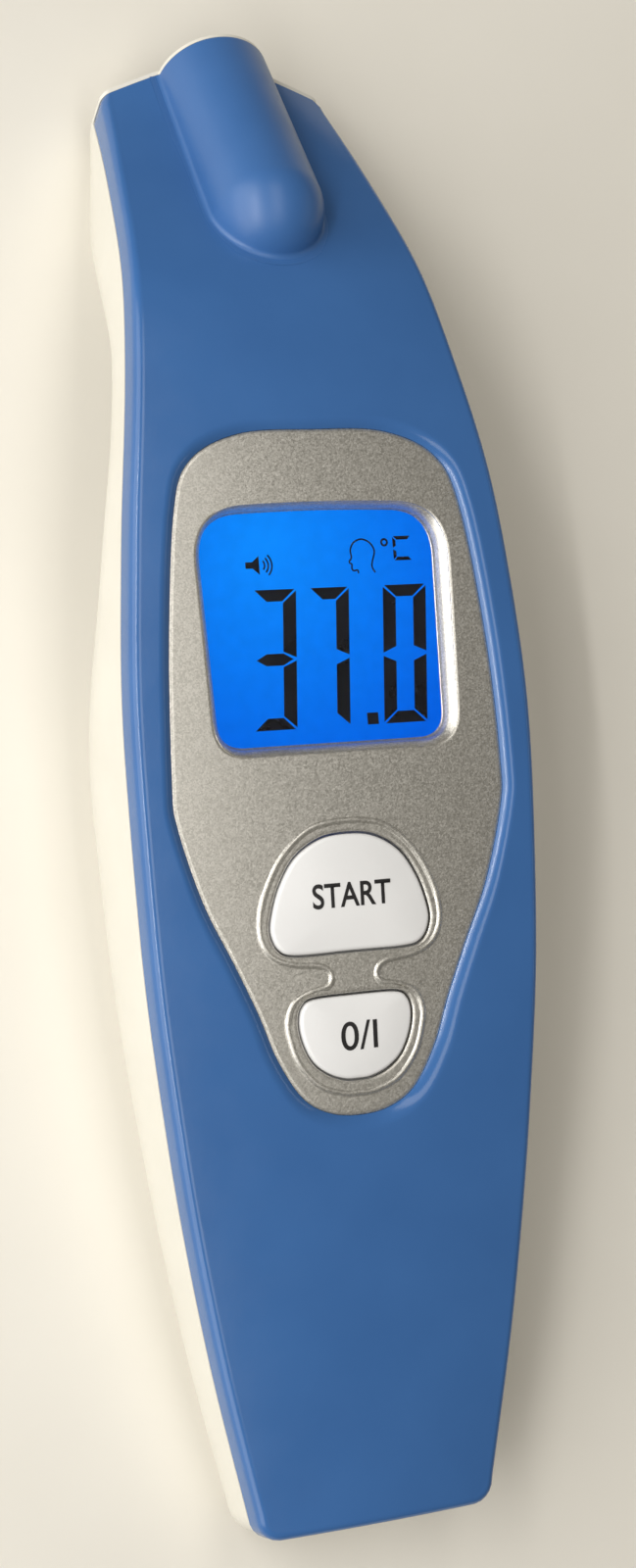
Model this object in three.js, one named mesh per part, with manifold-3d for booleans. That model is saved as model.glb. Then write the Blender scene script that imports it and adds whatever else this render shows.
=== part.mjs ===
// Non-contact forehead thermometer, millimetres, +Z up, lying on its back.
// +Y runs along the body to the sensor head and +Z points out of the display side.
// The pieces are drawn from a datum near the middle of the handle, and the group is then moved so that
// the origin is on the rest plane, under the middle of the whole thermometer.
import * as THREE from "three";
import { mergeVertices } from "three/addons/utils/BufferGeometryUtils.js";
import Module from "manifold-3d";

const wasm = await Module();
wasm.setup();

// ---- driving dimensions ------------------------------------------------------------------

// Body profiles, each a list of [place along the body, size].
const FOOT_Y = -75;
const HEAD_Y = 75;
const HALF_WIDTH = [
  [FOOT_Y, 12.8], [-55, 16.9], [-35, 19.8], [-15, 21.6], [5, 22.1], [25, 20.7], [45, 17.6], [63, 14.7],
  [HEAD_Y, 12.7],
];
const FRONT_HEIGHT = [
  [FOOT_Y, 11.7], [-45, 15.6], [-15, 19.6], [10, 22.1], [30, 22.9], [50, 20.3], [65, 12.9], [HEAD_Y, 6.4],
];
const BACK_HEIGHT = [
  [FOOT_Y, 0], [0, 0], [6, 0.9], [25, 8.6], [37, 11.3], [45, 10.5], [53, 4.8], [61, 0], [67, 0],
  [HEAD_Y, 0.4],
];
const STATIONS = [
  -75, -74.7, -74, -73.2, -72.5, -66, -57, -46, -35, -24, -13, -3, 6, 15, 25, 34, 42, 49, 55, 61, 66, 71, 75,
];
const SIDE_BAND = 3.0;
const CROWN = 0.8;
const EDGE_RADIUS = 1.0;
const CORNER_RADIUS = 2.5;
const BACK_SQUARENESS = 4.5;
const BACK_FLATTENING = 1.03;
const WALL = 1.6;
const FRONT_WALL = 2.0;
const SEAM = 0.1;

// Sensor head: the end leans back and its shoulders slope away from the barrel.
const LEAN_START_Y = 60;
const LEAN = 0.6;
const SHOULDER_SLOPE = 0.31;
const BARREL_RADIUS = 6.2;
const BARREL_BORE = 4.9;
const BARREL_STRAIGHT = 20.3;
const BARREL_END = new THREE.Vector3(0, 77.3, 6.3);
const BARREL_ANGLE = THREE.MathUtils.degToRad(-31);
const NOSE_THICKNESS = 0.5;
const APERTURE_RADIUS = 4.0;

// Control panel, in a frame that lies on the circuit board and tilts with it.
const BOARD_HEIGHT = 16.4;
const BOARD_TILT = THREE.MathUtils.degToRad(4.5);
const BOARD_THICKNESS = 1.0;
const PLATE_RECESS = 0.7;
const PLATE_THICKNESS = 0.6;
const PLATE_OUTLINE = [
  [0, 35.7], [8, 35.4], [13.6, 32.8], [15.9, 27.5], [17.6, 14], [18.3, 1], [18, -3.5], [15.8, -11],
  [12.9, -17.3], [10.6, -22.5], [8.8, -27.2], [6.3, -31.2], [3.4, -33.0], [0, -33.5],
];
const START = {
  name: "start",
  y: -12.4,
  outline: [
    [0, -4.9], [3, -5.3], [5.75, -6.95], [7.55, -9.6], [8.55, -12.4], [8.75, -14.3], [7.9, -16], [6, -16.6],
    [0, -16.6],
  ],
  top: 4.85,
  flange: [1.8, 2.55],
};
const POWER = {
  name: "power",
  y: -25.0,
  outline: [
    [0, -21.1], [4.5, -21.2], [5.8, -21.9], [6.2, -23.4], [5.85, -25.4], [4.85, -27.4], [3.3, -28.7],
    [1.5, -29.4], [0, -29.5],
  ],
  top: 4.4,
  flange: [1.35, 1.95],
};
const KEY_GAP = 0.25;
const FLANGE_LIP = 0.9;
const PRESS_TRAVEL = 0.7;
const PRESS_CLEARANCE = 0.06;
const PAD_TOP = 0.12;

// Display stack, in a frame of its own just under the window.
const DISPLAY = { y: 15.8, z: 22.1, tilt: THREE.MathUtils.degToRad(2.5) };
const WINDOW = { halfWidth: 12.95, taper: 0.4, head: 11.45, foot: 11.8, headCorner: 4.4, footCorner: 2.8 };
const BEVEL = 1.0;
const HEAD_BEVEL_SHARE = 0.55;

// Power: two size AAA cells side by side.
const CELL_RADIUS = 5.25;
const CELL_LENGTH = 43.7;
const CELL_X = 5.45;
const CELL_Z = 7.6;
const CELL_FOOT_Y = -53;
const STUD = { radius: 1.9, height: 0.8 };
const DOOR = { halfWidth: 11.2, thickness: 2.0, end: -2.5, gap: 0.25 };
const TONGUE = { halfWidth: 6, low: 1.05, reach: 2.4 };
const TRAY = { footY: -58.8, headY: -2.4, halfWidth: 11.0, wall: 0.9, low: 4.0, high: 11.0 };

// Case screws: foot pair under the battery door, neck pair in the finger arch.
const SCREWS = [
  { name: "case_screw_foot_left", x: -7.5, y: -66.5, head: 2.7, tip: 10.8, split: 7.0 },
  { name: "case_screw_foot_right", x: 7.5, y: -66.5, head: 2.7, tip: 10.8, split: 7.0 },
  { name: "case_screw_neck_left", x: -12.6, y: 40.5, head: 13.6, tip: 20.4, split: 17.2 },
  { name: "case_screw_neck_right", x: 12.6, y: 40.5, head: 13.6, tip: 20.4, split: 17.2 },
];
const SCREW = { radius: 1.0, headRadius: 1.9, headHeight: 1.3 };
const BOSS_RADIUS = 2.7;

// ---- materials ---------------------------------------------------------------------------

const LOOKS = {
  blue: { color: 0x4a78b0, roughness: 0.2, metalness: 0.0 },
  white: { color: 0xeceae4, roughness: 0.4, metalness: 0.0 },
  silver: { color: 0xb4b6bb, roughness: 0.35, metalness: 0.6 },
  lens: { color: 0x2a8cff, roughness: 0.05, metalness: 0.0 },
  glass: { color: 0x1a5fd0, roughness: 0.1, metalness: 0.0 },
  bezel: { color: 0x5a86b8, roughness: 0.25, metalness: 0.0 },
  rubber: { color: 0x3a3a3c, roughness: 0.8, metalness: 0.0 },
  silicone: { color: 0xd8d8d4, roughness: 0.6, metalness: 0.0 },
  carbon: { color: 0x151515, roughness: 0.7, metalness: 0.0 },
  board: { color: 0x1f6b3a, roughness: 0.5, metalness: 0.0 },
  chip: { color: 0x1b1b1d, roughness: 0.6, metalness: 0.0 },
  steel: { color: 0xb8bbc0, roughness: 0.3, metalness: 1.0 },
  brass: { color: 0xc9a24a, roughness: 0.35, metalness: 1.0 },
  cell: { color: 0x3c4048, roughness: 0.4, metalness: 0.2 },
  cable: { color: 0xc88a3a, roughness: 0.5, metalness: 0.0 },
};

// ---- curves and meshes -------------------------------------------------------------------

/** A smooth curve through [place, value] pairs that never overshoots them. */
function curveThrough(pairs) {
  const last = pairs.length - 1;
  const secants = pairs.slice(1).map(([place, value], i) => (value - pairs[i][1]) / (place - pairs[i][0]));
  const slopes = pairs.map((_, i) => {
    const before = secants[Math.max(i - 1, 0)];
    const after = secants[Math.min(i, last - 1)];
    return before * after <= 0 ? 0 : (2 * before * after) / (before + after);
  });
  return (place) => {
    const at = THREE.MathUtils.clamp(place, pairs[0][0], pairs[last][0]);
    let i = 0;
    while (i < last - 1 && at > pairs[i + 1][0]) i += 1;
    const span = pairs[i + 1][0] - pairs[i][0];
    const t = (at - pairs[i][0]) / span;
    const rise = t * t * (3 - 2 * t);
    const lead = t * (1 - t) * (1 - t) * span * slopes[i];
    const tail = t * t * (t - 1) * span * slopes[i + 1];
    return pairs[i][1] * (1 - rise) + pairs[i + 1][1] * rise + lead + tail;
  };
}

/** The boolean solid of a closed geometry. */
function solidOf(geometry) {
  const bare = geometry.clone();
  bare.deleteAttribute("normal");
  bare.deleteAttribute("uv");
  const merged = mergeVertices(bare, 1e-4);
  const corners = [];
  for (let i = 0; i < merged.index.count; i += 3) {
    const [a, b, c] = [0, 1, 2].map((k) => merged.index.getX(i + k));
    if (a !== b && b !== c && c !== a) corners.push(a, b, c);
  }
  return new wasm.Manifold(new wasm.Mesh({
    numProp: 3,
    vertProperties: new Float32Array(merged.attributes.position.array),
    triVerts: new Uint32Array(corners),
  }));
}

/** The geometry of a boolean solid. */
function geometryOf(solid) {
  const mesh = solid.getMesh();
  const geometry = new THREE.BufferGeometry();
  geometry.setAttribute("position", new THREE.BufferAttribute(new Float32Array(mesh.vertProperties), 3));
  geometry.setIndex(new THREE.BufferAttribute(new Uint32Array(mesh.triVerts), 1));
  geometry.computeVertexNormals();
  return geometry;
}

/** A closed skin over sections from foot to head, each an upper and a lower line from left to right. */
function loft(sections) {
  const width = sections[0].over.length;
  const count = 2 * width;
  const points = sections.flatMap(({ over, under }) => [...over, ...under.slice().reverse()]);
  const index = [];
  for (let i = 0; i + 1 < sections.length; i += 1) {
    for (let j = 0; j < count; j += 1) {
      const [a, b] = [i * count + j, i * count + ((j + 1) % count)];
      index.push(a, b, a + count, b, b + count, a + count);
    }
  }
  const end = (sections.length - 1) * count;
  for (let over = 0; over + 1 < width; over += 1) {
    const under = count - 1 - over;
    index.push(over, under, under - 1, over, under - 1, over + 1);
    index.push(end + over, end + under - 1, end + under, end + over, end + over + 1, end + under - 1);
  }
  const geometry = new THREE.BufferGeometry().setFromPoints(points);
  geometry.setIndex(index);
  return geometry;
}

/** A vertical prism over a 2-D shape, from one height to another. */
function prism(shape, low, high, curveSegments = 12) {
  const depth = high - low;
  const geometry = new THREE.ExtrudeGeometry(shape, { depth, bevelEnabled: false, curveSegments });
  return geometry.translate(0, 0, low);
}

/** A box between two corners. */
function block(low, high) {
  const size = high.map((value, i) => value - low[i]);
  const geometry = new THREE.BoxGeometry(...size);
  return geometry.translate(...low.map((value, i) => value + size[i] / 2));
}

/** A cylinder along +Z from one height to another. */
function post(x, y, low, high, radius, segments = 20) {
  const geometry = new THREE.CylinderGeometry(radius, radius, high - low, segments);
  return geometry.rotateX(Math.PI / 2).translate(x, y, (low + high) / 2);
}

/** A turned piece: [radius, place] pairs about +Y, closed on the axis or on itself. */
function turned(profile, segments = 28) {
  const points = profile.map(([radius, place]) => new THREE.Vector2(radius, place));
  return new THREE.LatheGeometry(points, segments);
}

/** A round disc or rod along +Y between two places. */
function disc(radius, low, high, segments = 32) {
  return turned([[0, low], [radius, low], [radius, high], [0, high]], segments);
}

function joined(...geometries) {
  return geometries.map(solidOf).reduce((sum, next) => sum.add(next));
}

const halfWidthAt = curveThrough(HALF_WIDTH);
const frontAt = curveThrough(FRONT_HEIGHT);
const backAt = curveThrough(BACK_HEIGHT);
const seamAt = (y) => frontAt(y) - SIDE_BAND;

/** How much the foot's corners take off the half-width. */
function cornerInset(y) {
  const into = FOOT_Y + CORNER_RADIUS - y;
  return into > 0 ? CORNER_RADIUS - Math.sqrt(Math.max(CORNER_RADIUS ** 2 - into ** 2, 0)) : 0;
}

/** A body point, with the head end leaning back and its shoulders sloping. */
function bodyPoint(x, y, z) {
  const lean = THREE.MathUtils.clamp((y - LEAN_START_Y) / (HEAD_Y - LEAN_START_Y), 0, 1) ** 2;
  const shoulder = SHOULDER_SLOPE * (halfWidthAt(y) - Math.max(Math.abs(x), BARREL_RADIUS));
  return new THREE.Vector3(x, y + lean * (shoulder + LEAN * (z - frontAt(y))), z);
}

/** The places of the sections between two ends of a block. */
function stationsBetween(low, high) {
  return [low, ...STATIONS.filter((y) => y > low + 0.2 && y < high - 0.2), high];
}

/** The upper line of a section: crowned, with rounded edges. */
function crownedLine(y, half, drop) {
  const edge = half - EDGE_RADIUS;
  const top = (x) => frontAt(y) - drop + CROWN * (1 - (x / halfWidthAt(y)) ** 2);
  const rounding = [0, 1, 2, 3].map((i) => (i / 3) * (Math.PI / 2));
  const side = (sign) => rounding.map((turn) => [
    sign * (edge + EDGE_RADIUS * Math.cos(turn)), top(edge) - EDGE_RADIUS * (1 - Math.sin(turn)),
  ]);
  const middle = [-3, -2, -1, 0, 1, 2, 3].map((i) => [(edge * i) / 4, top((edge * i) / 4)]);
  return [...side(-1), ...middle, ...side(1).reverse()];
}

/** The block under the crowned front surface, down to `depth` under the seam. */
function frontBlock({ inset = 0, drop = 0, depth = 0, low = FOOT_Y, high = HEAD_Y }) {
  return solidOf(loft(stationsBetween(low, high).map((y) => {
    const line = crownedLine(y, halfWidthAt(y) - cornerInset(y) - inset, drop);
    const over = line.map(([x, z]) => bodyPoint(x, y, z));
    const under = line.map(([x]) => bodyPoint(x, y, seamAt(y) - depth));
    return { over, under };
  })));
}

/** The block behind the seam, with a flat middle: from `drop` under the seam, or up to `rise` over it. */
function rearBlock({ inset = 0, rise = 0, low = FOOT_Y, high = HEAD_Y, drop = 0 }) {
  const steps = 18;
  const power = 2 / BACK_SQUARENESS;
  return solidOf(loft(stationsBetween(low, high).map((y) => {
    const half = halfWidthAt(y) - cornerInset(y) - inset;
    const depth = seamAt(y) - backAt(y) - inset - 0.3 * cornerInset(y);
    const over = [];
    const under = [];
    for (let i = 0; i <= steps; i += 1) {
      const turn = (i / steps) * Math.PI;
      const x = -half * Math.sign(Math.cos(turn)) * Math.abs(Math.cos(turn)) ** power;
      const sink = Math.min(BACK_FLATTENING * Math.max(Math.sin(turn), 0) ** power, 1);
      under.push(bodyPoint(x, y, seamAt(y) - drop - (depth - drop) * sink));
      over.push(bodyPoint(x, y, seamAt(y) - drop + rise));
    }
    return { over, under };
  })));
}

/** Turns a geometry made along +Y into the barrel's place, its mouth at the barrel's end. */
function inBarrel(geometry) {
  return geometry.rotateX(BARREL_ANGLE).translate(BARREL_END.x, BARREL_END.y, BARREL_END.z);
}

/** Lays a geometry on the circuit board. */
function onBoard(geometry) {
  return geometry.rotateX(BOARD_TILT).translate(0, 0, BOARD_HEIGHT);
}

/** Lays a geometry in the display's frame. */
function onDisplay(geometry) {
  return geometry.rotateX(DISPLAY.tilt).translate(0, DISPLAY.y, DISPLAY.z);
}

/** The barrel as a round-ended rod. */
function barrelRod(radius, mouth) {
  const profile = [[0, mouth], [radius, mouth]];
  for (let i = 0; i <= 6; i += 1) {
    const turn = (i / 6) * (Math.PI / 2);
    profile.push([radius * Math.cos(turn), -BARREL_STRAIGHT - radius * Math.sin(turn)]);
  }
  profile[profile.length - 1][0] = 0;
  return inBarrel(turned(profile.reverse(), 32));
}

/** The space for the sensor and for the nose plate's lid. */
function barrelMouth() {
  const lid = solidOf(inBarrel(disc(BARREL_RADIUS + 0.3, -NOSE_THICKNESS, 6)));
  return lid.add(solidOf(barrelRod(BARREL_BORE, 8)));
}

// ---- outlines ----------------------------------------------------------------------------

/** A smooth shape through the points of its right half, mirrored to the left and grown by `grow`. */
function mirroredShape(halfOutline, steps, grow = 0) {
  const curve = new THREE.SplineCurve(halfOutline.map(([x, y]) => new THREE.Vector2(x, y)));
  const right = curve.getPoints(steps).map((point, i) => {
    const tangent = curve.getTangent(i / steps);
    return new THREE.Vector2(Math.max(point.x - grow * tangent.y, 0), point.y + grow * tangent.x);
  });
  const left = right.slice(1, -1).reverse().map((point) => new THREE.Vector2(-point.x, point.y));
  return new THREE.Shape([...right, ...left].reverse());
}

const plateShape = (grow = 0) => mirroredShape(PLATE_OUTLINE, 30, grow);
const keyShape = (key, grow = 0) => mirroredShape(key.outline, 16, grow);

/** The display window: slightly narrower at the foot, with rounded corners; it grows least at its head. */
function windowShape(grow = 0) {
  const half = WINDOW.halfWidth + grow;
  const foot = half - WINDOW.taper;
  const [low, high] = [-WINDOW.foot - grow, WINDOW.head + HEAD_BEVEL_SHARE * grow];
  const [near, far] = [WINDOW.footCorner + grow, WINDOW.headCorner + grow];
  const shape = new THREE.Shape();
  shape.moveTo(-foot + near, low);
  shape.lineTo(foot - near, low);
  shape.quadraticCurveTo(foot, low, foot, low + near);
  shape.lineTo(half, high - far);
  shape.quadraticCurveTo(half, high, half - far, high);
  shape.lineTo(-half + far, high);
  shape.quadraticCurveTo(-half, high, -half, high - far);
  shape.lineTo(-foot, low + near);
  shape.quadraticCurveTo(-foot, low, -foot + near, low);
  return shape;
}

const keyHole = (key) => solidOf(onBoard(prism(keyShape(key, KEY_GAP), 0, 9)));
const windowHole = (grow) => solidOf(onDisplay(prism(windowShape(grow), -8, 8, 4)));

// ---- shells ------------------------------------------------------------------------------

function frontBosses() {
  return SCREWS.map(({ x, y, split }) => solidOf(post(x, y, split + SEAM, frontAt(y) - 1, BOSS_RADIUS)));
}

function screwHoles(radius, extra = 0) {
  return SCREWS.map(({ x, y, head, tip }) => solidOf(post(x, y, head - 1, tip + extra, radius, 14)));
}

function frontCover() {
  const overSeam = frontBlock({ drop: -20, high: 79 });
  const barrel = solidOf(barrelRod(BARREL_RADIUS, -NOSE_THICKNESS)).intersect(overSeam);
  const underPlate = frontBlock({ drop: PLATE_RECESS + PLATE_THICKNESS, depth: 5 });
  const recess = frontBlock({ drop: -20 }).subtract(underPlate);
  const cavity = frontBlock({ inset: WALL, drop: FRONT_WALL, depth: 2, low: FOOT_Y + WALL, high: 80 });
  let cover = frontBlock({}).add(barrel).subtract(cavity);
  cover = frontBosses().reduce((sum, boss) => sum.add(boss), cover);
  cover = screwHoles(SCREW.radius + 0.05, 0.3).reduce((rest, hole) => rest.subtract(hole), cover);
  cover = cover.subtract(barrelMouth());
  cover = cover.subtract(recess.intersect(solidOf(prism(plateShape(0.05), 0, 40))));
  const holes = keyHole(START).add(keyHole(POWER)).add(windowHole(BEVEL + SEAM));
  return geometryOf(cover.subtract(holes));
}

function faceplate() {
  const under = frontBlock({ drop: PLATE_RECESS + PLATE_THICKNESS - 0.05, depth: 5 });
  const layer = frontBlock({ drop: PLATE_RECESS, depth: 4 }).subtract(under);
  const plate = layer.intersect(solidOf(prism(plateShape(), 0, 40)));
  const holes = keyHole(START).add(keyHole(POWER)).add(windowHole(BEVEL + SEAM));
  return geometryOf(plate.subtract(holes));
}

function rearCover() {
  const outer = rearBlock({ drop: SEAM });
  const cavity = rearBlock({ inset: WALL, rise: 3, low: FOOT_Y + WALL, high: 80 });
  const shelf = solidOf(block([-13, FOOT_Y + 1, DOOR.thickness + 0.3], [13, -59, DOOR.thickness + 1.9]));
  const inside = rearBlock({ inset: WALL / 2, drop: SEAM + 0.1 });
  const tubes = SCREWS.map(({ x, y, split }) => {
    const floor = y > 0 ? backAt(y) + 0.3 : DOOR.thickness + 0.4;
    return solidOf(post(x, y, floor, split, BOSS_RADIUS)).intersect(rearBlock({ rise: 2 }));
  });
  let cover = outer.subtract(cavity).add(shelf.intersect(inside));
  cover = tubes.reduce((sum, tube) => sum.add(tube), cover);
  const doorway = block(
    [-DOOR.halfWidth - DOOR.gap, FOOT_Y - 5, -5],
    [DOOR.halfWidth + DOOR.gap, DOOR.end + DOOR.gap, DOOR.thickness + 0.25],
  );
  const tongueSlot = block(
    [-TONGUE.halfWidth - DOOR.gap, DOOR.end, TONGUE.low - SEAM],
    [TONGUE.halfWidth + DOOR.gap, DOOR.end + TONGUE.reach + DOOR.gap, DOOR.thickness + 0.25],
  );
  cover = cover.subtract(joined(doorway, tongueSlot));
  for (const screw of SCREWS) {
    cover = cover.subtract(solidOf(post(screw.x, screw.y, 0, screw.split + 1, SCREW.radius + 0.1, 14)));
    const mouth = post(screw.x, screw.y, -5, screw.head + SCREW.headHeight + SEAM, SCREW.headRadius + 0.15);
    cover = cover.subtract(solidOf(mouth));
  }
  return geometryOf(cover.subtract(barrelMouth()));
}

function batteryDoor() {
  const { halfWidth, thickness, end } = DOOR;
  const footprint = block([-halfWidth, FOOT_Y - 5, -5], [halfWidth, end, thickness]);
  const plate = rearBlock({}).intersect(solidOf(footprint));
  const tongueEnd = end + TONGUE.reach;
  const tongue = block([-TONGUE.halfWidth, end - 1, TONGUE.low], [TONGUE.halfWidth, tongueEnd, thickness]);
  return geometryOf(plate.add(solidOf(tongue)));
}

function nosePlate() {
  const front = frontBlock({ inset: 0.15, drop: 0.15, low: HEAD_Y + SEAM, high: HEAD_Y + NOSE_THICKNESS });
  const rear = rearBlock({ inset: 0.15, low: HEAD_Y + SEAM, high: HEAD_Y + NOSE_THICKNESS });
  const collar = disc(BARREL_BORE - 0.2, -1.6, 0);
  const lid = disc(BARREL_RADIUS - 0.1, SEAM - NOSE_THICKNESS, 0);
  const lip = APERTURE_RADIUS - 0.6;
  const bore = [[0, -3], [lip, -3], [lip, -0.9], [APERTURE_RADIUS, -0.3], [APERTURE_RADIUS, 3], [0, 3]];
  const mouth = turned(bore, 32);
  const plate = front.add(rear).add(solidOf(inBarrel(collar))).add(solidOf(inBarrel(lid)));
  return geometryOf(plate.subtract(solidOf(inBarrel(mouth))));
}

// ---- keys and display --------------------------------------------------------------------

function keyCap(key) {
  const cap = prism(keyShape(key), key.flange[0], key.top);
  const flange = prism(keyShape(key, FLANGE_LIP), key.flange[0], key.flange[1]);
  return geometryOf(joined(cap, flange)).rotateX(BOARD_TILT).translate(0, 0, BOARD_HEIGHT);
}

/** A silicone dome, hollow underneath, whose mouth rests on the board. */
function keyDome(key) {
  const top = key.flange[0] - 0.05;
  const profile = [[0, top - 0.25], [2.0, top - 0.25], [3.0, 0.05], [4.4, 0.05], [4.4, 0.35], [3.2, 0.35],
    [2.6, top], [0, top]];
  return onBoard(turned(profile, 24).rotateX(Math.PI / 2).translate(0, key.y, 0));
}

/** The carbon plunger under a dome's ceiling: a full press brings it down to the contact pad. */
function contactPill(key) {
  return onBoard(post(0, key.y, PAD_TOP + PRESS_TRAVEL + PRESS_CLEARANCE, key.flange[0] - 0.32, 1.7));
}

function contactPad(key) {
  return onBoard(post(0, key.y, 0.02, PAD_TOP, 2.4));
}

function displayBezel() {
  const outer = prism(windowShape(BEVEL), -1.75, 0, 4);
  return geometryOf(solidOf(onDisplay(outer)).subtract(windowHole(0)));
}

function displayPane(grow, low, high) {
  return onDisplay(prism(windowShape(grow), low, high, 4));
}

function contactStrip(y, top) {
  return onBoard(block([-11.5, y - 0.5, 0.05], [11.5, y + 0.5, top]));
}

// ---- electronics -------------------------------------------------------------------------

function mainBoard() {
  const shape = new THREE.Shape();
  const foot = 11.0;
  const head = 15.0;
  shape.moveTo(-foot, -31);
  shape.lineTo(foot, -31);
  shape.lineTo(head, -18);
  shape.lineTo(head, 34);
  shape.lineTo(9, 36.5);
  shape.lineTo(-9, 36.5);
  shape.lineTo(-head, 34);
  shape.lineTo(-head, -18);
  return onBoard(prism(shape, -BOARD_THICKNESS, 0));
}

const underBoard = (low, high, thickness) => {
  const bottom = -BOARD_THICKNESS - 0.02;
  return onBoard(block([low[0], low[1], bottom - thickness], [high[0], high[1], bottom]));
};

function buzzer() {
  const bottom = -BOARD_THICKNESS - 0.02;
  const can = solidOf(post(-8, 10, bottom - 3.4, bottom, 6, 28));
  const soundHole = solidOf(post(-8, 10, bottom - 4, bottom - 2.6, 0.9, 14));
  return onBoard(geometryOf(can.subtract(soundHole)));
}

function sensorCable() {
  const path = new THREE.CatmullRomCurve3([
    new THREE.Vector3(0, 64.4, 14.2), new THREE.Vector3(0, 57, 15.2), new THREE.Vector3(0, 48, 16.6),
    new THREE.Vector3(0, 40, 17.2),
  ]);
  const section = new THREE.Shape([[-2.2, -0.15], [2.2, -0.15], [2.2, 0.15], [-2.2, 0.15]].map(
    ([x, y]) => new THREE.Vector2(x, y)));
  return new THREE.ExtrudeGeometry(section, { extrudePath: path, steps: 12, bevelEnabled: false });
}

// ---- sensor ------------------------------------------------------------------------------

/** A tube along the barrel: [inner radius, outer radius] and the places of its foot and mouth. */
function barrelTube([inner, outer], foot, mouth) {
  return inBarrel(turned([[inner, foot], [outer, foot], [outer, mouth], [inner, mouth], [inner, foot]], 32));
}

const sensorSleeve = () => barrelTube([3.3, BARREL_BORE - 0.5], -12.5, -2.6);
const sensorRing = () => barrelTube([3.5, BARREL_BORE - 0.5], -2.5, -1.7);

function thermopileCan() {
  const [cap, flange] = [2.7, 3.1];
  const bottom = -10.3;
  const pocket = [[cap, -5.7], [1.6, -5.7], [1.6, -6.1], [0, -6.1]];
  return inBarrel(turned([[0, bottom], [flange, bottom], [flange, -9.6], [cap, -9.6], ...pocket], 28));
}

function thermopileWindow() {
  return inBarrel(disc(1.55, -6.05, -5.75, 20));
}

function sensorBoard() {
  return inBarrel(disc(4.2, -13.6, -12.6, 24));
}

// ---- batteries ---------------------------------------------------------------------------

/** A cell along +Y, its stud towards the head when `up` is 1 and towards the foot when it is -1. */
function cell(x, up) {
  const chamfer = 0.4;
  const shoulder = CELL_RADIUS - chamfer;
  const top = CELL_LENGTH + STUD.height;
  const profile = [
    [0, 0], [shoulder, 0], [CELL_RADIUS, chamfer], [CELL_RADIUS, CELL_LENGTH - chamfer],
    [shoulder, CELL_LENGTH], [STUD.radius, CELL_LENGTH], [STUD.radius, top], [0, top],
  ];
  const geometry = turned(profile, 28);
  if (up < 0) geometry.rotateX(Math.PI).translate(0, CELL_LENGTH + 2 * STUD.height, 0);
  return geometry.translate(x, CELL_FOOT_Y, CELL_Z);
}

/** A conical coil that starts wide at one place along Y and ends narrow at another. */
function coil(x, start, end, wide = 3.4, narrow = 2.2) {
  const turns = 3.2;
  const wire = 0.35;
  const points = [];
  for (let i = 0; i <= 40; i += 1) {
    const t = i / 40;
    const turn = t * turns * 2 * Math.PI;
    const radius = wide + (narrow - wide) * t;
    points.push(new THREE.Vector3(
      x + radius * Math.cos(turn),
      start + (end - start) * t,
      CELL_Z + radius * Math.sin(turn),
    ));
  }
  const path = new THREE.CatmullRomCurve3(points);
  const section = new THREE.Shape();
  section.absarc(0, 0, wire, 0, 2 * Math.PI);
  const options = { extrudePath: path, steps: 44, bevelEnabled: false, curveSegments: 3 };
  return new THREE.ExtrudeGeometry(section, options);
}

function contactPlate(x, y, halfWidth = 4.2) {
  return block([x - halfWidth, y, CELL_Z - 4], [x + halfWidth, y + 0.4, CELL_Z + 4]);
}

function batteryTray() {
  const { footY, headY, halfWidth, wall, low, high } = TRAY;
  const outer = block([-halfWidth - wall, footY - wall, low], [halfWidth + wall, headY + wall, high]);
  const inner = block([-halfWidth, footY, low - 1], [halfWidth, headY, high + 1]);
  return geometryOf(solidOf(outer).subtract(solidOf(inner)));
}

// ---- screws ------------------------------------------------------------------------------

function caseScrew(screw) {
  const { radius, headRadius, headHeight } = SCREW;
  const length = screw.tip - screw.head;
  const profile = [
    [0, 0], [headRadius, 0], [headRadius, headHeight], [radius, headHeight], [radius, length - 1],
    [0, length],
  ];
  const body = turned(profile, 18).rotateX(Math.PI / 2).translate(screw.x, screw.y, screw.head);
  const slot = (angle) => block([-1.2, -0.25, -1], [1.2, 0.25, 0.6]).rotateZ(angle)
    .translate(screw.x, screw.y, screw.head);
  return geometryOf(solidOf(body).subtract(joined(slot(0), slot(Math.PI / 2))));
}

// ---- assembly ----------------------------------------------------------------------------

const headTip = BARREL_END.y - BARREL_RADIUS * Math.sin(BARREL_ANGLE);
const thermometer = new THREE.Group();
thermometer.position.y = -(FOOT_Y + headTip) / 2;

function addPiece(name, geometry, look) {
  const mesh = new THREE.Mesh(geometry, new THREE.MeshStandardMaterial(LOOKS[look]));
  mesh.name = name;
  thermometer.add(mesh);
}

addPiece("front_cover", frontCover(), "blue");
addPiece("faceplate", faceplate(), "silver");
addPiece("rear_cover", rearCover(), "white");
addPiece("battery_door", batteryDoor(), "white");
addPiece("nose_plate", nosePlate(), "white");

for (const key of [START, POWER]) {
  addPiece(`${key.name}_button_cap`, keyCap(key), "white");
  addPiece(`${key.name}_key_dome`, keyDome(key), "silicone");
  addPiece(`${key.name}_contact_pill`, contactPill(key), "carbon");
  addPiece(`${key.name}_contact_pad`, contactPad(key), "brass");
}

addPiece("display_bezel", displayBezel(), "bezel");
addPiece("display_lens", displayPane(-0.1, -1.7, -1.0), "lens");
addPiece("display_glass", displayPane(1.0, -3.0, -1.85), "glass");
addPiece("backlight_plate", displayPane(-1.0, -3.7, -3.1), "white");

addPiece("main_circuit_board", mainBoard(), "board");
addPiece("contact_strip_upper", contactStrip(27.55, 0.86), "rubber");
addPiece("contact_strip_lower", contactStrip(4.0, 1.6), "rubber");
addPiece("controller_chip", underBoard([3, 6], [11, 14], 1.3), "chip");
addPiece("memory_chip", underBoard([4, 22], [9, 26], 1.0), "chip");
addPiece("crystal_can", underBoard([-9, 24], [-5, 26.2], 1.6), "steel");
addPiece("buzzer", buzzer(), "chip");
addPiece("sensor_cable", sensorCable(), "cable");

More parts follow.
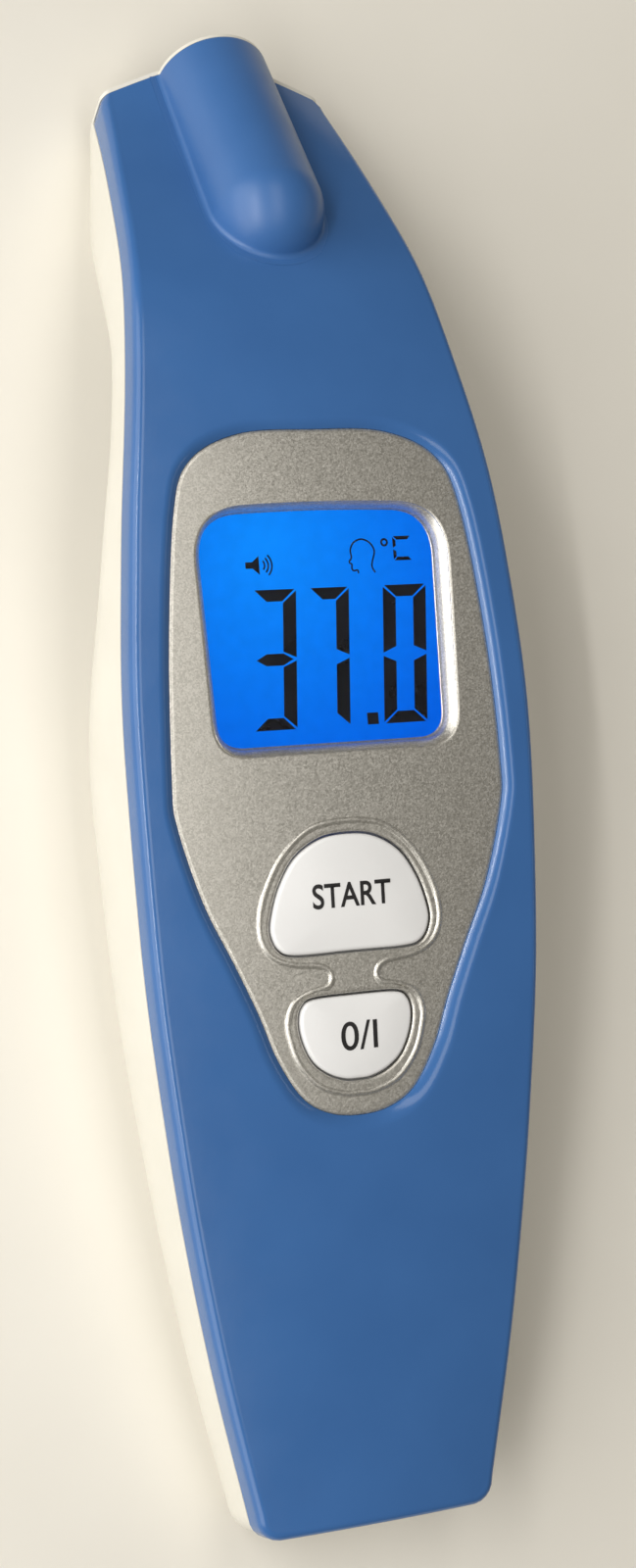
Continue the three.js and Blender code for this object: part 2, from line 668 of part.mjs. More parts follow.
addPiece("sensor_sleeve", sensorSleeve(), "steel");
addPiece("sensor_ring", sensorRing(), "rubber");
addPiece("thermopile_can", thermopileCan(), "steel");
addPiece("thermopile_window", thermopileWindow(), "glass");
addPiece("sensor_board", sensorBoard(), "board");

addPiece("battery_tray", batteryTray(), "white");
addPiece("battery_left", cell(-CELL_X, 1), "cell");
addPiece("battery_right", cell(CELL_X, -1), "cell");
const cellHeadY = CELL_FOOT_Y + CELL_LENGTH + 2 * STUD.height;
addPiece("battery_spring_foot", coil(-CELL_X, TRAY.footY + 0.95, CELL_FOOT_Y - 0.45), "steel");
addPiece("battery_spring_head", coil(CELL_X, TRAY.headY - 0.95, cellHeadY + 0.45), "steel");
addPiece("battery_bridge", contactPlate(0, TRAY.footY + 0.1, 9.6), "brass");
addPiece("battery_contact_positive", contactPlate(-CELL_X, TRAY.headY - 0.5), "brass");
addPiece("battery_contact_negative", contactPlate(CELL_X, TRAY.headY - 0.5), "brass");

for (const screw of SCREWS) addPiece(screw.name, caseScrew(screw), "steel");

export default thermometer;
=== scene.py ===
"""A non-contact forehead thermometer lying on its back: its looks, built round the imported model.

Shapes are worked out in millimetres from the datum that the model is drawn from, and `place` turns them into
the row frame, in metres.
"""

import math

import bmesh
import bpy
import numpy as np
from mathutils import Matrix, Vector
from mathutils.geometry import delaunay_2d_cdt


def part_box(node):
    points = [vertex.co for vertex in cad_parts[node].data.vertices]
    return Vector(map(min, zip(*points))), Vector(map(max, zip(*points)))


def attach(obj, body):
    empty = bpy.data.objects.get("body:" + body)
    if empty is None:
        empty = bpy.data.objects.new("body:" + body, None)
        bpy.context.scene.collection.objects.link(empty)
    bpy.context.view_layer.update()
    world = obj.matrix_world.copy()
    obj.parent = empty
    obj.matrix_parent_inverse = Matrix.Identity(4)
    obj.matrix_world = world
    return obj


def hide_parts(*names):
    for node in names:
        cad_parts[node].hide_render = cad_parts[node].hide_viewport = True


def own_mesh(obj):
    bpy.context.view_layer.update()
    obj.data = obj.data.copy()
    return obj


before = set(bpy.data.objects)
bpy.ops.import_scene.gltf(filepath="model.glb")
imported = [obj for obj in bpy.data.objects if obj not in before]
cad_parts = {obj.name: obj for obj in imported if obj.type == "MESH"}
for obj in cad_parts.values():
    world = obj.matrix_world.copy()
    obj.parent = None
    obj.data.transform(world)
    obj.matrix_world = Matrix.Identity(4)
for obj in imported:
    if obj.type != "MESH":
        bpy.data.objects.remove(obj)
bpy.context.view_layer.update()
MM = 0.001

# ---- driving dimensions, the same as the model's ---------

FOOT_Y = -75.0
HEAD_Y = 75.0
DATUM_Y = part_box("rear_cover")[0].y / MM - FOOT_Y
HALF_WIDTH = [
    (-75, 12.8), (-55, 16.9), (-35, 19.8), (-15, 21.6), (5, 22.1), (25, 20.7), (45, 17.6), (63, 14.7),
    (75, 12.7),
]
FRONT_HEIGHT = [
    (-75, 11.7), (-45, 15.6), (-15, 19.6), (10, 22.1), (30, 22.9), (50, 20.3), (65, 12.9), (75, 6.4),
]
BACK_HEIGHT = [
    (-75, 0), (0, 0), (6, 0.9), (25, 8.6), (37, 11.3), (45, 10.5), (53, 4.8), (61, 0), (67, 0), (75, 0.4),
]
SIDE_BAND = 3.0
CROWN = 0.8
EDGE_RADIUS = 1.0
CORNER_RADIUS = 2.5
BACK_SQUARENESS = 4.5
BACK_FLATTENING = 1.03
WALL = 1.6
FRONT_WALL = 2.0
SEAM = 0.1

LEAN_START_Y = 60.0
LEAN = 0.6
SHOULDER_SLOPE = 0.31
BARREL_RADIUS = 6.2
BARREL_BORE = 4.9
BARREL_STRAIGHT = 20.3
BARREL_END = np.array([0.0, 77.3, 6.3])
BARREL_ANGLE = math.radians(31)
BARREL_AXIS = np.array([0.0, math.cos(BARREL_ANGLE), -math.sin(BARREL_ANGLE)])
BARREL_UP = np.array([0.0, math.sin(BARREL_ANGLE), math.cos(BARREL_ANGLE)])
BARREL_FILLET = 0.6
NOSE_THICKNESS = 0.5
APERTURE_RADIUS = 4.0

BOARD_HEIGHT = 16.4
BOARD_TILT = math.radians(4.5)
PLATE_RECESS = 0.7
PLATE_THICKNESS = 0.6
PLATE_OUTLINE = [
    (0, 35.7), (8, 35.4), (13.6, 32.8), (15.9, 27.5), (17.6, 14), (18.3, 1), (18, -3.5), (15.8, -11),
    (12.9, -17.3), (10.6, -22.5), (8.8, -27.2), (6.3, -31.2), (3.4, -33), (0, -33.5),
]
START = {
    "name": "start",
    "outline": [
        (0, -4.9), (3, -5.3), (5.75, -6.95), (7.55, -9.6), (8.55, -12.4), (8.75, -14.3), (7.9, -16),
        (6, -16.6), (0, -16.6),
    ],
    "dome_y": -12.4, "flange": 1.8,
    "label": "START", "label_y": -11.35, "label_size": (8.7, 2.5), "weight": 0.014,
}
POWER = {
    "name": "power",
    "outline": [
        (0, -21.1), (4.5, -21.2), (5.8, -21.9), (6.2, -23.4), (5.85, -25.4), (4.85, -27.4), (3.3, -28.7),
        (1.5, -29.4), (0, -29.5),
    ],
    "dome_y": -25.0, "flange": 1.35,
    "label": "0/I", "label_y": -25.5, "label_size": (4.05, 2.9), "weight": 0.006,
}
KEY_GAP = 0.25
KEY_RISE = 0.18
KEY_DOME = 0.28
KEY_EDGE = 0.42
FLANGE_LIP = 0.9
BEAD_OUTLINE = [
    (0, -3.9), (4, -4.5), (7.2, -7), (9.3, -10.6), (10, -13.7), (9.6, -15.8), (8.3, -17.2), (6.2, -17.9),
    (3.9, -18.15), (2.75, -18.75), (2.5, -19.6), (3.1, -20.35), (5, -20.75), (6.8, -21.7), (7.5, -23.4),
    (7.3, -25.3), (6.4, -27.8), (4.4, -30.1), (1.9, -31.1), (0, -31.25),
]
BEAD_HEIGHT = 0.17
BEAD_SECTION = [
    (0.46, 0), (0.3, 0), (0.2, 0.7), (0.07, 1), (-0.07, 1), (-0.2, 0.7), (-0.3, 0), (-0.46, 0),
]
DISPLAY_Y = 15.8
DISPLAY_Z = 22.1
DISPLAY_TILT = math.radians(2.5)
WINDOW_HALF = 12.95
WINDOW_TAPER = 0.4
WINDOW_HEAD = 11.45
WINDOW_FOOT = 11.8
HEAD_CORNER = 4.4
FOOT_CORNER = 2.8
HEAD_ARCH = 0.4
BEVEL = 1.0
HEAD_BEVEL_SHARE = 0.55
DOOR_HALF = 11.2
DOOR_THICKNESS = 2.0
DOOR_END = -2.5
DOOR_GAP = 0.25
TONGUE_HALF = 6.0
TONGUE_REACH = 2.4
SHELF_HALF = 10.6
SHELF_END = -59
SHELF_THICKNESS = 1.6
POST_RADIUS = 2.7
SCREW_WELL_RADIUS = 2.05
SCOOP_Y = -14
SCOOP_SIZE = (6.5, 5.0)
RIB_COUNT = 5
RIB_PITCH = 1.5
RIB_RADIUS = 0.28
LABEL_PRINT = 0.035
KEY_PLAN_HEIGHT = 4.7
DOME_FOOT = 0.05
DOME_WALL = 0.25
LIP_WIDTH = 1.25
LIP_WIDENING = 0.4


# ---- curves ----------------------------------------------

def profile(pairs, blur=2.5):
    """A smooth function of the place along the body through [place, size] pairs, its curvature evened out."""
    places = np.array([p for p, _ in pairs], float)
    sizes = np.array([v for _, v in pairs], float)
    secants = np.diff(sizes) / np.diff(places)
    slopes = np.empty(len(pairs))
    slopes[0], slopes[-1] = secants[0], secants[-1]
    for i in range(1, len(pairs) - 1):
        product = secants[i - 1] * secants[i]
        slopes[i] = 0 if product <= 0 else 2 * product / (secants[i - 1] + secants[i])
    at = np.arange(-95, 95.1, 0.25)
    inside = np.clip(at, places[0], places[-1])
    i = np.clip(np.searchsorted(places, inside, side="right") - 1, 0, len(pairs) - 2)
    span = places[i + 1] - places[i]
    t = (inside - places[i]) / span
    rise = t * t * (3 - 2 * t)
    values = sizes[i] * (1 - rise) + sizes[i + 1] * rise
    values += t * (1 - t) ** 2 * span * slopes[i] + t * t * (t - 1) * span * slopes[i + 1]
    values += np.where(at < places[0], (at - places[0]) * slopes[0], 0)
    values += np.where(at > places[-1], (at - places[-1]) * slopes[-1], 0)
    reach = np.arange(-3 * blur, 3 * blur + 0.01, 0.25)
    weights = np.exp(-0.5 * (reach / blur) ** 2)
    smoothed = np.convolve(values, weights / weights.sum(), mode="same")
    return lambda y: np.interp(y, at, smoothed)


half_width = profile(HALF_WIDTH)
front = profile(FRONT_HEIGHT)
back_raw = profile(BACK_HEIGHT, blur=1.5)


def back(y):
    """Height of the back, never under the rest plane."""
    return np.maximum(back_raw(y), 0.0)


def seam(y):
    return front(y) - SIDE_BAND


def skin(x, y):
    """Height of the crowned front at a station."""
    return front(y) + CROWN * (1 - (x / half_width(y)) ** 2)


def body_point(x, y, z):
    """A body point, with the head end leaning back and its shoulders sloping."""
    x, y, z = np.broadcast_arrays(np.asarray(x, float), np.asarray(y, float), np.asarray(z, float))
    lean = np.clip((y - LEAN_START_Y) / (HEAD_Y - LEAN_START_Y), 0, 1) ** 2
    shoulder = SHOULDER_SLOPE * (half_width(np.minimum(y, HEAD_Y)) - np.maximum(np.abs(x), BARREL_RADIUS))
    return np.stack([x, y + lean * (shoulder + LEAN * (z - front(np.minimum(y, HEAD_Y)))), z], -1)


def skin_under(x, y):
    """Height of the front under a place in plan, the head's lean taken out first."""
    station = np.array(y, float)
    for _ in range(12):
        station = station - (body_point(x, station, skin(x, station))[..., 1] - y)
    return skin(x, station)


def corner_inset(y):
    """How much the foot's corners take off the half-width."""
    into = np.clip(FOOT_Y + CORNER_RADIUS - y, 0, CORNER_RADIUS)
    return CORNER_RADIUS - np.sqrt(np.maximum(CORNER_RADIUS**2 - into**2, 0))


def spline(points, count, half=True):
    """`count` + 1 places spread evenly along a smooth line; half an outline carries on into its mirror."""
    p = np.array(points, float)
    ends = (p[1] * (-1, 1), p[-2] * (-1, 1)) if half else (2 * p[0] - p[1], 2 * p[-1] - p[-2])
    p = np.vstack([ends[0], p, ends[1]])
    fine = []
    for i in range(1, len(p) - 2):
        for t in np.linspace(0, 1, 24, endpoint=False):
            a, b, c, d = p[i - 1], p[i], p[i + 1], p[i + 2]
            square, cube = 2 * a - 5 * b + 4 * c - d, 3 * b - a - 3 * c + d
            fine.append(0.5 * (2 * b + (c - a) * t + square * t**2 + cube * t**3))
    fine = np.array(fine + [p[-2]])
    return resample(fine, count)


def resample(line, count):
    """An open line as `count` + 1 evenly spaced points."""
    along = np.concatenate([[0], np.cumsum(np.linalg.norm(np.diff(line, axis=0), axis=1))])
    at = np.linspace(0, along[-1], count + 1)
    return np.stack([np.interp(at, along, line[:, k]) for k in range(line.shape[1])], -1)


def mirrored(half, grow=0.0):
    """A closed outline from its right half, top to bottom, grown outwards by `grow`."""
    tangent = np.gradient(half, axis=0)
    tangent[0], tangent[-1] = (1, 0), (-1, 0)
    tangent /= np.linalg.norm(tangent, axis=1, keepdims=True)
    out = half + np.stack([-tangent[:, 1], tangent[:, 0]], -1) * grow
    out[[0, -1], 0] = 0
    left = out[1:-1][::-1] * (-1, 1)
    return np.vstack([out, left])


def window_outline(grow=0.0, arc=12):
    """The display window's outline: narrower at the foot, arched at the head, with rounded corners."""
    half = WINDOW_HALF + grow
    low, high = -WINDOW_FOOT - grow, WINDOW_HEAD + HEAD_BEVEL_SHARE * grow
    foot, near, far = half - WINDOW_TAPER, FOOT_CORNER + grow, HEAD_CORNER + grow
    corners = [
        ((half, high), (-1, 0), (0, -1), far), ((foot, low), (0, 1), (-1, 0), near),
        ((-foot, low), (1, 0), (0, 1), near), ((-half, high), (0, -1), (1, 0), far),
    ]
    points = []
    for tip, a, b, radius in corners:
        start, end = np.array(tip) + radius * np.array(a), np.array(tip) + radius * np.array(b)
        for t in np.linspace(0, 1, arc):
            points.append((1 - t) ** 2 * start + 2 * t * (1 - t) * np.array(tip) + t**2 * end)
    closed = resample(np.array(points + [points[0]]), 240)[:-1]
    closed[:, 1] += np.where(closed[:, 1] > 0, HEAD_ARCH * (1 - (closed[:, 0] / half) ** 2), 0)
    return closed


# ---- meshes ----------------------------------------------

def place(points):
    """Datum millimetres to row metres."""
    return (np.asarray(points, float) + (0, DATUM_Y, 0)) * MM


def linked(name, data):
    piece = bpy.data.objects.new(name, data)
    bpy.context.scene.collection.objects.link(piece)
    return piece


def make_object(name, points, faces, material, sharp=38.0):
    mesh = bpy.data.meshes.new(name)
    mesh.from_pydata([tuple(p) for p in place(points)], [], [tuple(int(i) for i in f) for f in faces])
    work = bmesh.new()
    work.from_mesh(mesh)
    bmesh.ops.remove_doubles(work, verts=work.verts, dist=2e-6)
    bmesh.ops.recalc_face_normals(work, faces=work.faces)
    work.to_mesh(mesh)
    work.free()
    mesh.shade_smooth()
    mesh.set_sharp_from_angle(angle=math.radians(sharp))
    if material is not None:
        mesh.materials.append(material)
    return linked(name, mesh)


def strip_faces(rows, columns, closed=True):
    """Quads between neighbouring rows of points."""
    faces = []
    across = columns if closed else columns - 1
    for i in range(rows - 1):
        for j in range(across):
            k = (j + 1) % columns
            faces.append((i * columns + j, i * columns + k, (i + 1) * columns + k, (i + 1) * columns + j))
    return faces


def skin_object(name, rows, material, closed=True, ends=False, sharp=38.0):
    """A surface through rows of points; `ends` closes its end rows, each with one face or with strips."""
    rows = np.asarray(rows)
    count, columns = rows.shape[:2]
    faces = strip_faces(count, columns, closed)
    for first in (0, (count - 1) * columns) if ends else ():
        if ends == "strips":
            last = first + columns - 1
            faces += [(first + i, first + i + 1, last - 1 - i, last - i) for i in range(columns // 2 - 1)]
        else:
            faces.append(tuple(range(first, first + columns)))
    return make_object(name, rows.reshape(-1, 3), faces, material, sharp)


def boolean(target, other, operation):
    """Cuts or joins another object into the target, and removes the other."""
    modifier = target.modifiers.new("cut", "BOOLEAN")
    modifier.operation = operation
    modifier.solver = "EXACT"
    modifier.object = other
    bpy.context.view_layer.update()
    result = bpy.data.meshes.new_from_object(target.evaluated_get(bpy.context.evaluated_depsgraph_get()))
    target.modifiers.clear()
    target.data = result
    bpy.data.objects.remove(other)
    return target


def resharpen(piece, sharp):
    piece.data.shade_smooth()
    piece.data.set_sharp_from_angle(angle=math.radians(sharp))
    return piece


def all_white(piece):
    """One material over a piece that booleans have left with several."""
    piece.data.materials.clear()
    piece.data.materials.append(WHITE)
    return resharpen(piece, 30)


def box_object(low, high):
    low, high = np.array(low, float), np.array(high, float)
    points = [[(low, high)[(i >> k) & 1][k] for k in range(3)] for i in range(8)]
    faces = [(0, 2, 3, 1), (4, 5, 7, 6), (0, 1, 5, 4), (2, 6, 7, 3), (0, 4, 6, 2), (1, 3, 7, 5)]
    return make_object("cutter", points, faces, None)


def turned_rows(radii_places, centre, axis, up, steps=64):
    """Rows of a turned surface: [radius, place] pairs about an axis."""
    axis, up = np.asarray(axis, float), np.asarray(up, float)
    side = np.cross(axis, up)
    turn = np.linspace(0, 2 * math.pi, steps, endpoint=False)
    ring = np.cos(turn)[:, None] * side + np.sin(turn)[:, None] * up
    return np.array([np.asarray(centre) + axis * p + ring * r for r, p in radii_places])


def board_point(x, v, h):
    """A point in the circuit board's tilted frame."""
    x, v, h = np.broadcast_arrays(x, v, h)
    c, s = math.cos(BOARD_TILT), math.sin(BOARD_TILT)
    return np.stack([x, v * c - h * s, BOARD_HEIGHT + v * s + h * c], -1)


def display_point(x, v, h):
    """A point in the display's frame."""
    x, v, h = np.broadcast_arrays(np.asarray(x, float), np.asarray(v, float), np.asarray(h, float))
    c, s = math.cos(DISPLAY_TILT), math.sin(DISPLAY_TILT)
    return np.stack([x, DISPLAY_Y + v * c - h * s, DISPLAY_Z + v * s + h * c], -1)


# ---- materials -------------------------------------------

def principled(name, **sockets):
    material = bpy.data.materials.new(name)
    material.use_nodes = True
    shader = material.node_tree.nodes["Principled BSDF"]
    for key, value in sockets.items():
        shader.inputs[key.replace("_", " ")].default_value = value
    return material, material.node_tree, shader


def add_node(tree, kind, **values):
    node = tree.nodes.new(kind)
    for key, value in values.items():
        if hasattr(node, key):
            setattr(node, key, value)
        else:
            node.inputs[key.replace("_", " ")].default_value = value
    return node


def coordinates(tree):
    return add_node(tree, "ShaderNodeTexCoord").outputs["Object"]


def noise(tree, scale, detail=3.0, roughness=0.5):
    node = add_node(tree, "ShaderNodeTexNoise", Scale=scale, Detail=detail, Roughness=roughness)
    tree.links.new(coordinates(tree), node.inputs["Vector"])
    return node.outputs["Fac"]


def ramp(tree, factor, low, high, low_colour, high_colour):
    node = add_node(tree, "ShaderNodeValToRGB")
    node.color_ramp.elements[0].position = low
    node.color_ramp.elements[1].position = high
    node.color_ramp.elements[0].color = (*low_colour, 1)
    node.color_ramp.elements[1].color = (*high_colour, 1)
    tree.links.new(factor, node.inputs["Fac"])
    return node.outputs["Color"]


def grey(value):
    return (value, value, value)


def bump(tree, shader, height, strength, distance):
    node = add_node(tree, "ShaderNodeBump", Strength=strength, Distance=distance)
    tree.links.new(height, node.inputs["Height"])
    tree.links.new(node.outputs["Normal"], shader.inputs["Normal"])


def moulded(name, dark, light, roughness, grain, depth, **sockets):
    """Moulded plastic: slight colour drift, uneven gloss and a fine moulding grain."""
    material, tree, shader = principled(name, **sockets)
    tree.links.new(ramp(tree, noise(tree, 90, 4), 0.3, 0.7, dark, light), shader.inputs["Base Color"])
    gloss = ramp(tree, noise(tree, 240, 5, 0.6), 0.3, 0.7, grey(roughness[0]), grey(roughness[1]))
    tree.links.new(gloss, shader.inputs["Roughness"])
    bump(tree, shader, noise(tree, grain, 2), 0.25, depth)
    return material


def flake_silver():
    """Silver paint with metal flakes: each small cell tilts and shines on its own."""
    material, tree, shader = principled("silver_flake", Metallic=0.85, Specular_IOR_Level=0.5)
    cells = add_node(tree, "ShaderNodeTexVoronoi", Scale=7000.0)
    tree.links.new(coordinates(tree), cells.inputs["Vector"])
    split = add_node(tree, "ShaderNodeSeparateColor")
    tree.links.new(cells.outputs["Color"], split.inputs["Color"])
    sparkle = ramp(tree, split.outputs["Red"], 0.1, 0.98, (0.55, 0.535, 0.49), (0.75, 0.73, 0.68))
    tree.links.new(sparkle, shader.inputs["Base Color"])
    gloss = ramp(tree, split.outputs["Green"], 0.1, 0.95, grey(0.30), grey(0.48))
    tree.links.new(gloss, shader.inputs["Roughness"])
    bump(tree, shader, split.outputs["Blue"], 0.10, 0.00003)
    return material


def backlit():
    """The lit display: bright blue, brighter towards its top left."""
    material, tree, shader = principled(
        "backlit_blue", Base_Color=(0.0, 0.02, 0.09, 1), Roughness=0.2, Specular_IOR_Level=0.0)
    spot = add_node(tree, "ShaderNodeMapping")
    spot.inputs["Location"].default_value = place((-6.0, DISPLAY_Y + 9.0, 0)).tolist()
    spot.vector_type = "TEXTURE"
    spot.inputs["Scale"].default_value = (0.026, 0.026, 1.0)
    tree.links.new(coordinates(tree), spot.inputs["Vector"])
    distance = add_node(tree, "ShaderNodeTexGradient", gradient_type="SPHERICAL")
    tree.links.new(spot.outputs["Vector"], distance.inputs["Vector"])
    glow = ramp(tree, distance.outputs["Fac"], 0.0, 0.95, (0.0, 0.105, 0.72), (0.003, 0.25, 0.98))
    mottle = ramp(tree, noise(tree, 700, 2), 0.3, 0.7, grey(0.92), grey(1.0))
    mix = add_node(tree, "ShaderNodeMix", data_type="RGBA", blend_type="MULTIPLY")
    mix.inputs["Factor"].default_value = 1.0
    tree.links.new(glow, mix.inputs["A"])
    tree.links.new(mottle, mix.inputs["B"])
    tree.links.new(mix.outputs["Result"], shader.inputs["Emission Color"])
    shader.inputs["Emission Strength"].default_value = 1.0
    return material


def clear_lens():
    material, tree, shader = principled(
        "clear_lens", Base_Color=(1, 1, 1, 1), Roughness=0.02, IOR=1.25, Transmission_Weight=1.0)
    bump(tree, shader, noise(tree, 60, 1), 0.05, 0.00002)
    return material


def metal(name, dark, light, roughness, streak=900.0):
    """Plated or turned metal with fine streaks."""
    material, tree, shader = principled(name, Metallic=1.0)
    tree.links.new(ramp(tree, noise(tree, streak, 4), 0.3, 0.7, dark, light), shader.inputs["Base Color"])
    gloss = ramp(tree, noise(tree, streak * 0.6, 3), 0.3, 0.7, grey(roughness - 0.06), grey(roughness + 0.08))
    tree.links.new(gloss, shader.inputs["Roughness"])
    bump(tree, shader, noise(tree, streak * 1.5, 2), 0.15, 0.00002)
    return material


def circuit_board():
    """Green solder mask with lighter copper runs under it."""
    material, tree, shader = principled("green_board", Roughness=0.35)
    bricks = add_node(tree, "ShaderNodeTexBrick", Scale=420.0, Mortar_Size=0.03)
    bricks.inputs["Color1"].default_value = (0.012, 0.12, 0.045, 1)
    bricks.inputs["Color2"].default_value = (0.016, 0.15, 0.06, 1)
    bricks.inputs["Mortar"].default_value = (0.03, 0.25, 0.09, 1)
    tree.links.new(coordinates(tree), bricks.inputs["Vector"])
    tree.links.new(bricks.outputs["Color"], shader.inputs["Base Color"])
    bump(tree, shader, bricks.outputs["Fac"], 0.2, 0.00005)
    return material


def cell_wrap():
    """A battery's plain wrap: dark, with a copper-coloured band at one end of each."""
    material, tree, shader = principled("cell_wrap", Metallic=0.4, Roughness=0.3)
    split = add_node(tree, "ShaderNodeSeparateXYZ")
    tree.links.new(coordinates(tree), split.inputs["Vector"])
    edge = place((0, -20, 0))[1]
    band = add_node(tree, "ShaderNodeMapRange", From_Min=edge - 0.0002, From_Max=edge + 0.0002)
    tree.links.new(split.outputs["Y"], band.inputs["Value"])
    colour = ramp(tree, band.outputs["Result"], 0.0, 1.0, (0.02, 0.022, 0.027), (0.55, 0.25, 0.09))
    tree.links.new(colour, shader.inputs["Base Color"])
    bump(tree, shader, noise(tree, 500, 2), 0.1, 0.00003)
    return material


BLUES = (0.040, 0.126, 0.335), (0.045, 0.138, 0.360)
BLUE = moulded("blue_gloss", *BLUES, (0.14, 0.21), 1500, 0.00002)
BLUE_SATIN = moulded("blue_satin", *BLUES, (0.32, 0.40), 1500, 0.00002)
WHITE = moulded("warm_white", (0.68, 0.66, 0.59), (0.72, 0.70, 0.63), (0.30, 0.42), 2600, 0.00004,
                Subsurface_Weight=0.08, Subsurface_Radius=(0.002, 0.0018, 0.0014))
KEY_WHITE = moulded("key_white", (0.75, 0.75, 0.75), (0.80, 0.80, 0.80), (0.30, 0.40), 2200, 0.00003,
                    Subsurface_Weight=0.05, Subsurface_Radius=(0.001, 0.001, 0.001))
SILVER = flake_silver()
INK = moulded("black_print", (0.008, 0.007, 0.008), (0.014, 0.013, 0.014), (0.35, 0.5), 3000, 0.00001)
SEGMENT = moulded("lcd_segment", (0.003, 0.004, 0.008), (0.006, 0.007, 0.014), (0.25, 0.35), 2000, 0.00001)
LENS = clear_lens()
BACKLIT = backlit()
SILICONE = moulded("silicone", (0.62, 0.62, 0.60), (0.70, 0.70, 0.68), (0.5, 0.65), 1800, 0.00005)
RUBBER = moulded("black_rubber", (0.012, 0.012, 0.012), (0.022, 0.022, 0.022), (0.6, 0.8), 1800, 0.00006)
CHIP = moulded("black_moulding", (0.012, 0.012, 0.013), (0.02, 0.02, 0.022), (0.45, 0.6), 2400, 0.00004)
FILM = moulded("amber_film", (0.45, 0.19, 0.03), (0.55, 0.25, 0.05), (0.25, 0.4), 900, 0.00003)
STEEL = metal("bright_steel", (0.42, 0.43, 0.45), (0.62, 0.63, 0.65), 0.28)
GOLD = metal("plated_contact", (0.62, 0.42, 0.15), (0.78, 0.56, 0.22), 0.30)
ALUMINIUM = metal("turned_aluminium", (0.50, 0.50, 0.51), (0.66, 0.66, 0.67), 0.32, 1400.0)
FILTER = moulded("sensor_filter", (0.020, 0.022, 0.030), (0.030, 0.034, 0.046), (0.06, 0.12), 900, 0.00001)
BOARD = circuit_board()
WRAP = cell_wrap()


# ---- front shell -----------------------------------------

AROUND = 240
LIP_DEPTH = 0.68
LIP_ROUNDING = 1.9


def outer_half():
    """The body's right outline in plan from head to foot, and which way each point moves when it is inset."""
    side_y = np.linspace(HEAD_Y, FOOT_Y + CORNER_RADIUS, 400)
    side = np.stack([half_width(side_y), side_y], -1)
    turn = np.linspace(0, math.pi / 2, 30)[1:]
    centre = np.array([half_width(FOOT_Y + CORNER_RADIUS) - CORNER_RADIUS, FOOT_Y + CORNER_RADIUS])
    corner = centre + CORNER_RADIUS * np.stack([np.cos(turn), -np.sin(turn)], -1)
    head = np.stack([np.linspace(0, side[0, 0], 40)[:-1], np.full(39, HEAD_Y)], -1)
    foot = np.stack([np.linspace(corner[-1, 0], 0, 40)[1:], np.full(39, FOOT_Y)], -1)
    return resample(np.vstack([head, side, corner, foot]), AROUND)


def inset_outline(half, inset):
    """The outline moved inwards, except along the head's end, which only gets narrower."""
    tangent = np.gradient(half, axis=0)
    tangent[0], tangent[-1] = (1, 0), (-1, 0)
    tangent /= np.linalg.norm(tangent, axis=1, keepdims=True)
    inward = np.stack([tangent[:, 1], -tangent[:, 0]], -1)
    on_head = half[:, 1] > HEAD_Y - 1e-6
    inward[on_head] = np.stack([-half[on_head, 0] / half_width(HEAD_Y), np.zeros(on_head.sum())], -1)
    out = half + inset * inward
    out[[0, -1], 0] = 0
    left = out[1:-1][::-1] * (-1, 1)
    return np.vstack([out, left])


def lip_width(y):
    """The panel lip is wider round the foot of the panel."""
    return LIP_WIDTH + LIP_WIDENING * np.clip((-8 - y) / 20, 0, 1)


def front_shell():
    plate = spline(PLATE_OUTLINE, AROUND)
    outer = outer_half()
    rows = []

    def panel_row(grow, drop):
        loop = mirrored(plate, 0.0)
        width = lip_width(loop[:, 1])
        moved = mirrored(plate, 1.0) - loop
        spot = loop + moved * (grow * width)[:, None]
        rows.append(body_point(spot[:, 0], spot[:, 1], skin(spot[:, 0], spot[:, 1]) - drop))
        return spot

    panel_row(0.0, FRONT_WALL)
    panel_row(0.0, PLATE_RECESS + 0.05)
    for t in np.linspace(0, 1, 12)[:-1]:
        panel_row(0.01 + 1.04 * t, LIP_DEPTH * (1 - t) ** LIP_ROUNDING)
    start = panel_row(1.05, 0.0)
    end = inset_outline(outer, EDGE_RADIUS)
    for t in np.linspace(0, 1, 64)[1:]:
        spot = start + (end - start) * t
        rows.append(body_point(spot[:, 0], spot[:, 1], skin(spot[:, 0], spot[:, 1])))
    edge_height = skin(end[:, 0], end[:, 1])
    for turn in np.linspace(0, math.pi / 2, 8)[1:]:
        spot = inset_outline(outer, EDGE_RADIUS * (1 - math.sin(turn)))
        rows.append(body_point(spot[:, 0], spot[:, 1], edge_height - EDGE_RADIUS * (1 - math.cos(turn))))
    rim = inset_outline(outer, 0)
    inner = inset_outline(outer, WALL)
    clear_half = half_width(HEAD_Y) - WALL
    on_head = rim[:, 1] > HEAD_Y - 1e-6
    open_head = on_head & (np.abs(rim[:, 0]) < clear_half - 0.05)
    corner = on_head & ~open_head
    inner[corner, 0] = np.sign(rim[corner, 0]) * clear_half
    ceiling = skin(inner[:, 0], inner[:, 1]) - FRONT_WALL
    top = edge_height - EDGE_RADIUS
    bottom = np.where(open_head, ceiling, seam(rim[:, 1]))
    for t in (0.4, 0.8, 0.96):
        rows.append(body_point(rim[:, 0], rim[:, 1], top + (bottom - top) * t))
    for spot in (inset_outline(outer, 0.12), inner):
        spot = np.where(open_head[:, None], inner, spot)
        rows.append(body_point(spot[:, 0], spot[:, 1], np.where(open_head, ceiling, seam(spot[:, 1]))))
    opening = mirrored(plate, 0.0)
    for t in np.linspace(0, 1, 24)[:-1]:
        spot = inner + (opening - inner) * t
        rows.append(body_point(spot[:, 0], spot[:, 1], skin(spot[:, 0], spot[:, 1]) - FRONT_WALL))
    rows.append(rows[0])
    shell = skin_object("front_shell", rows, BLUE, sharp=32)
    boolean(shell, barrel_solid(BARREL_BORE, -BARREL_STRAIGHT, 8), "DIFFERENCE")
    return resharpen(shell, 32)


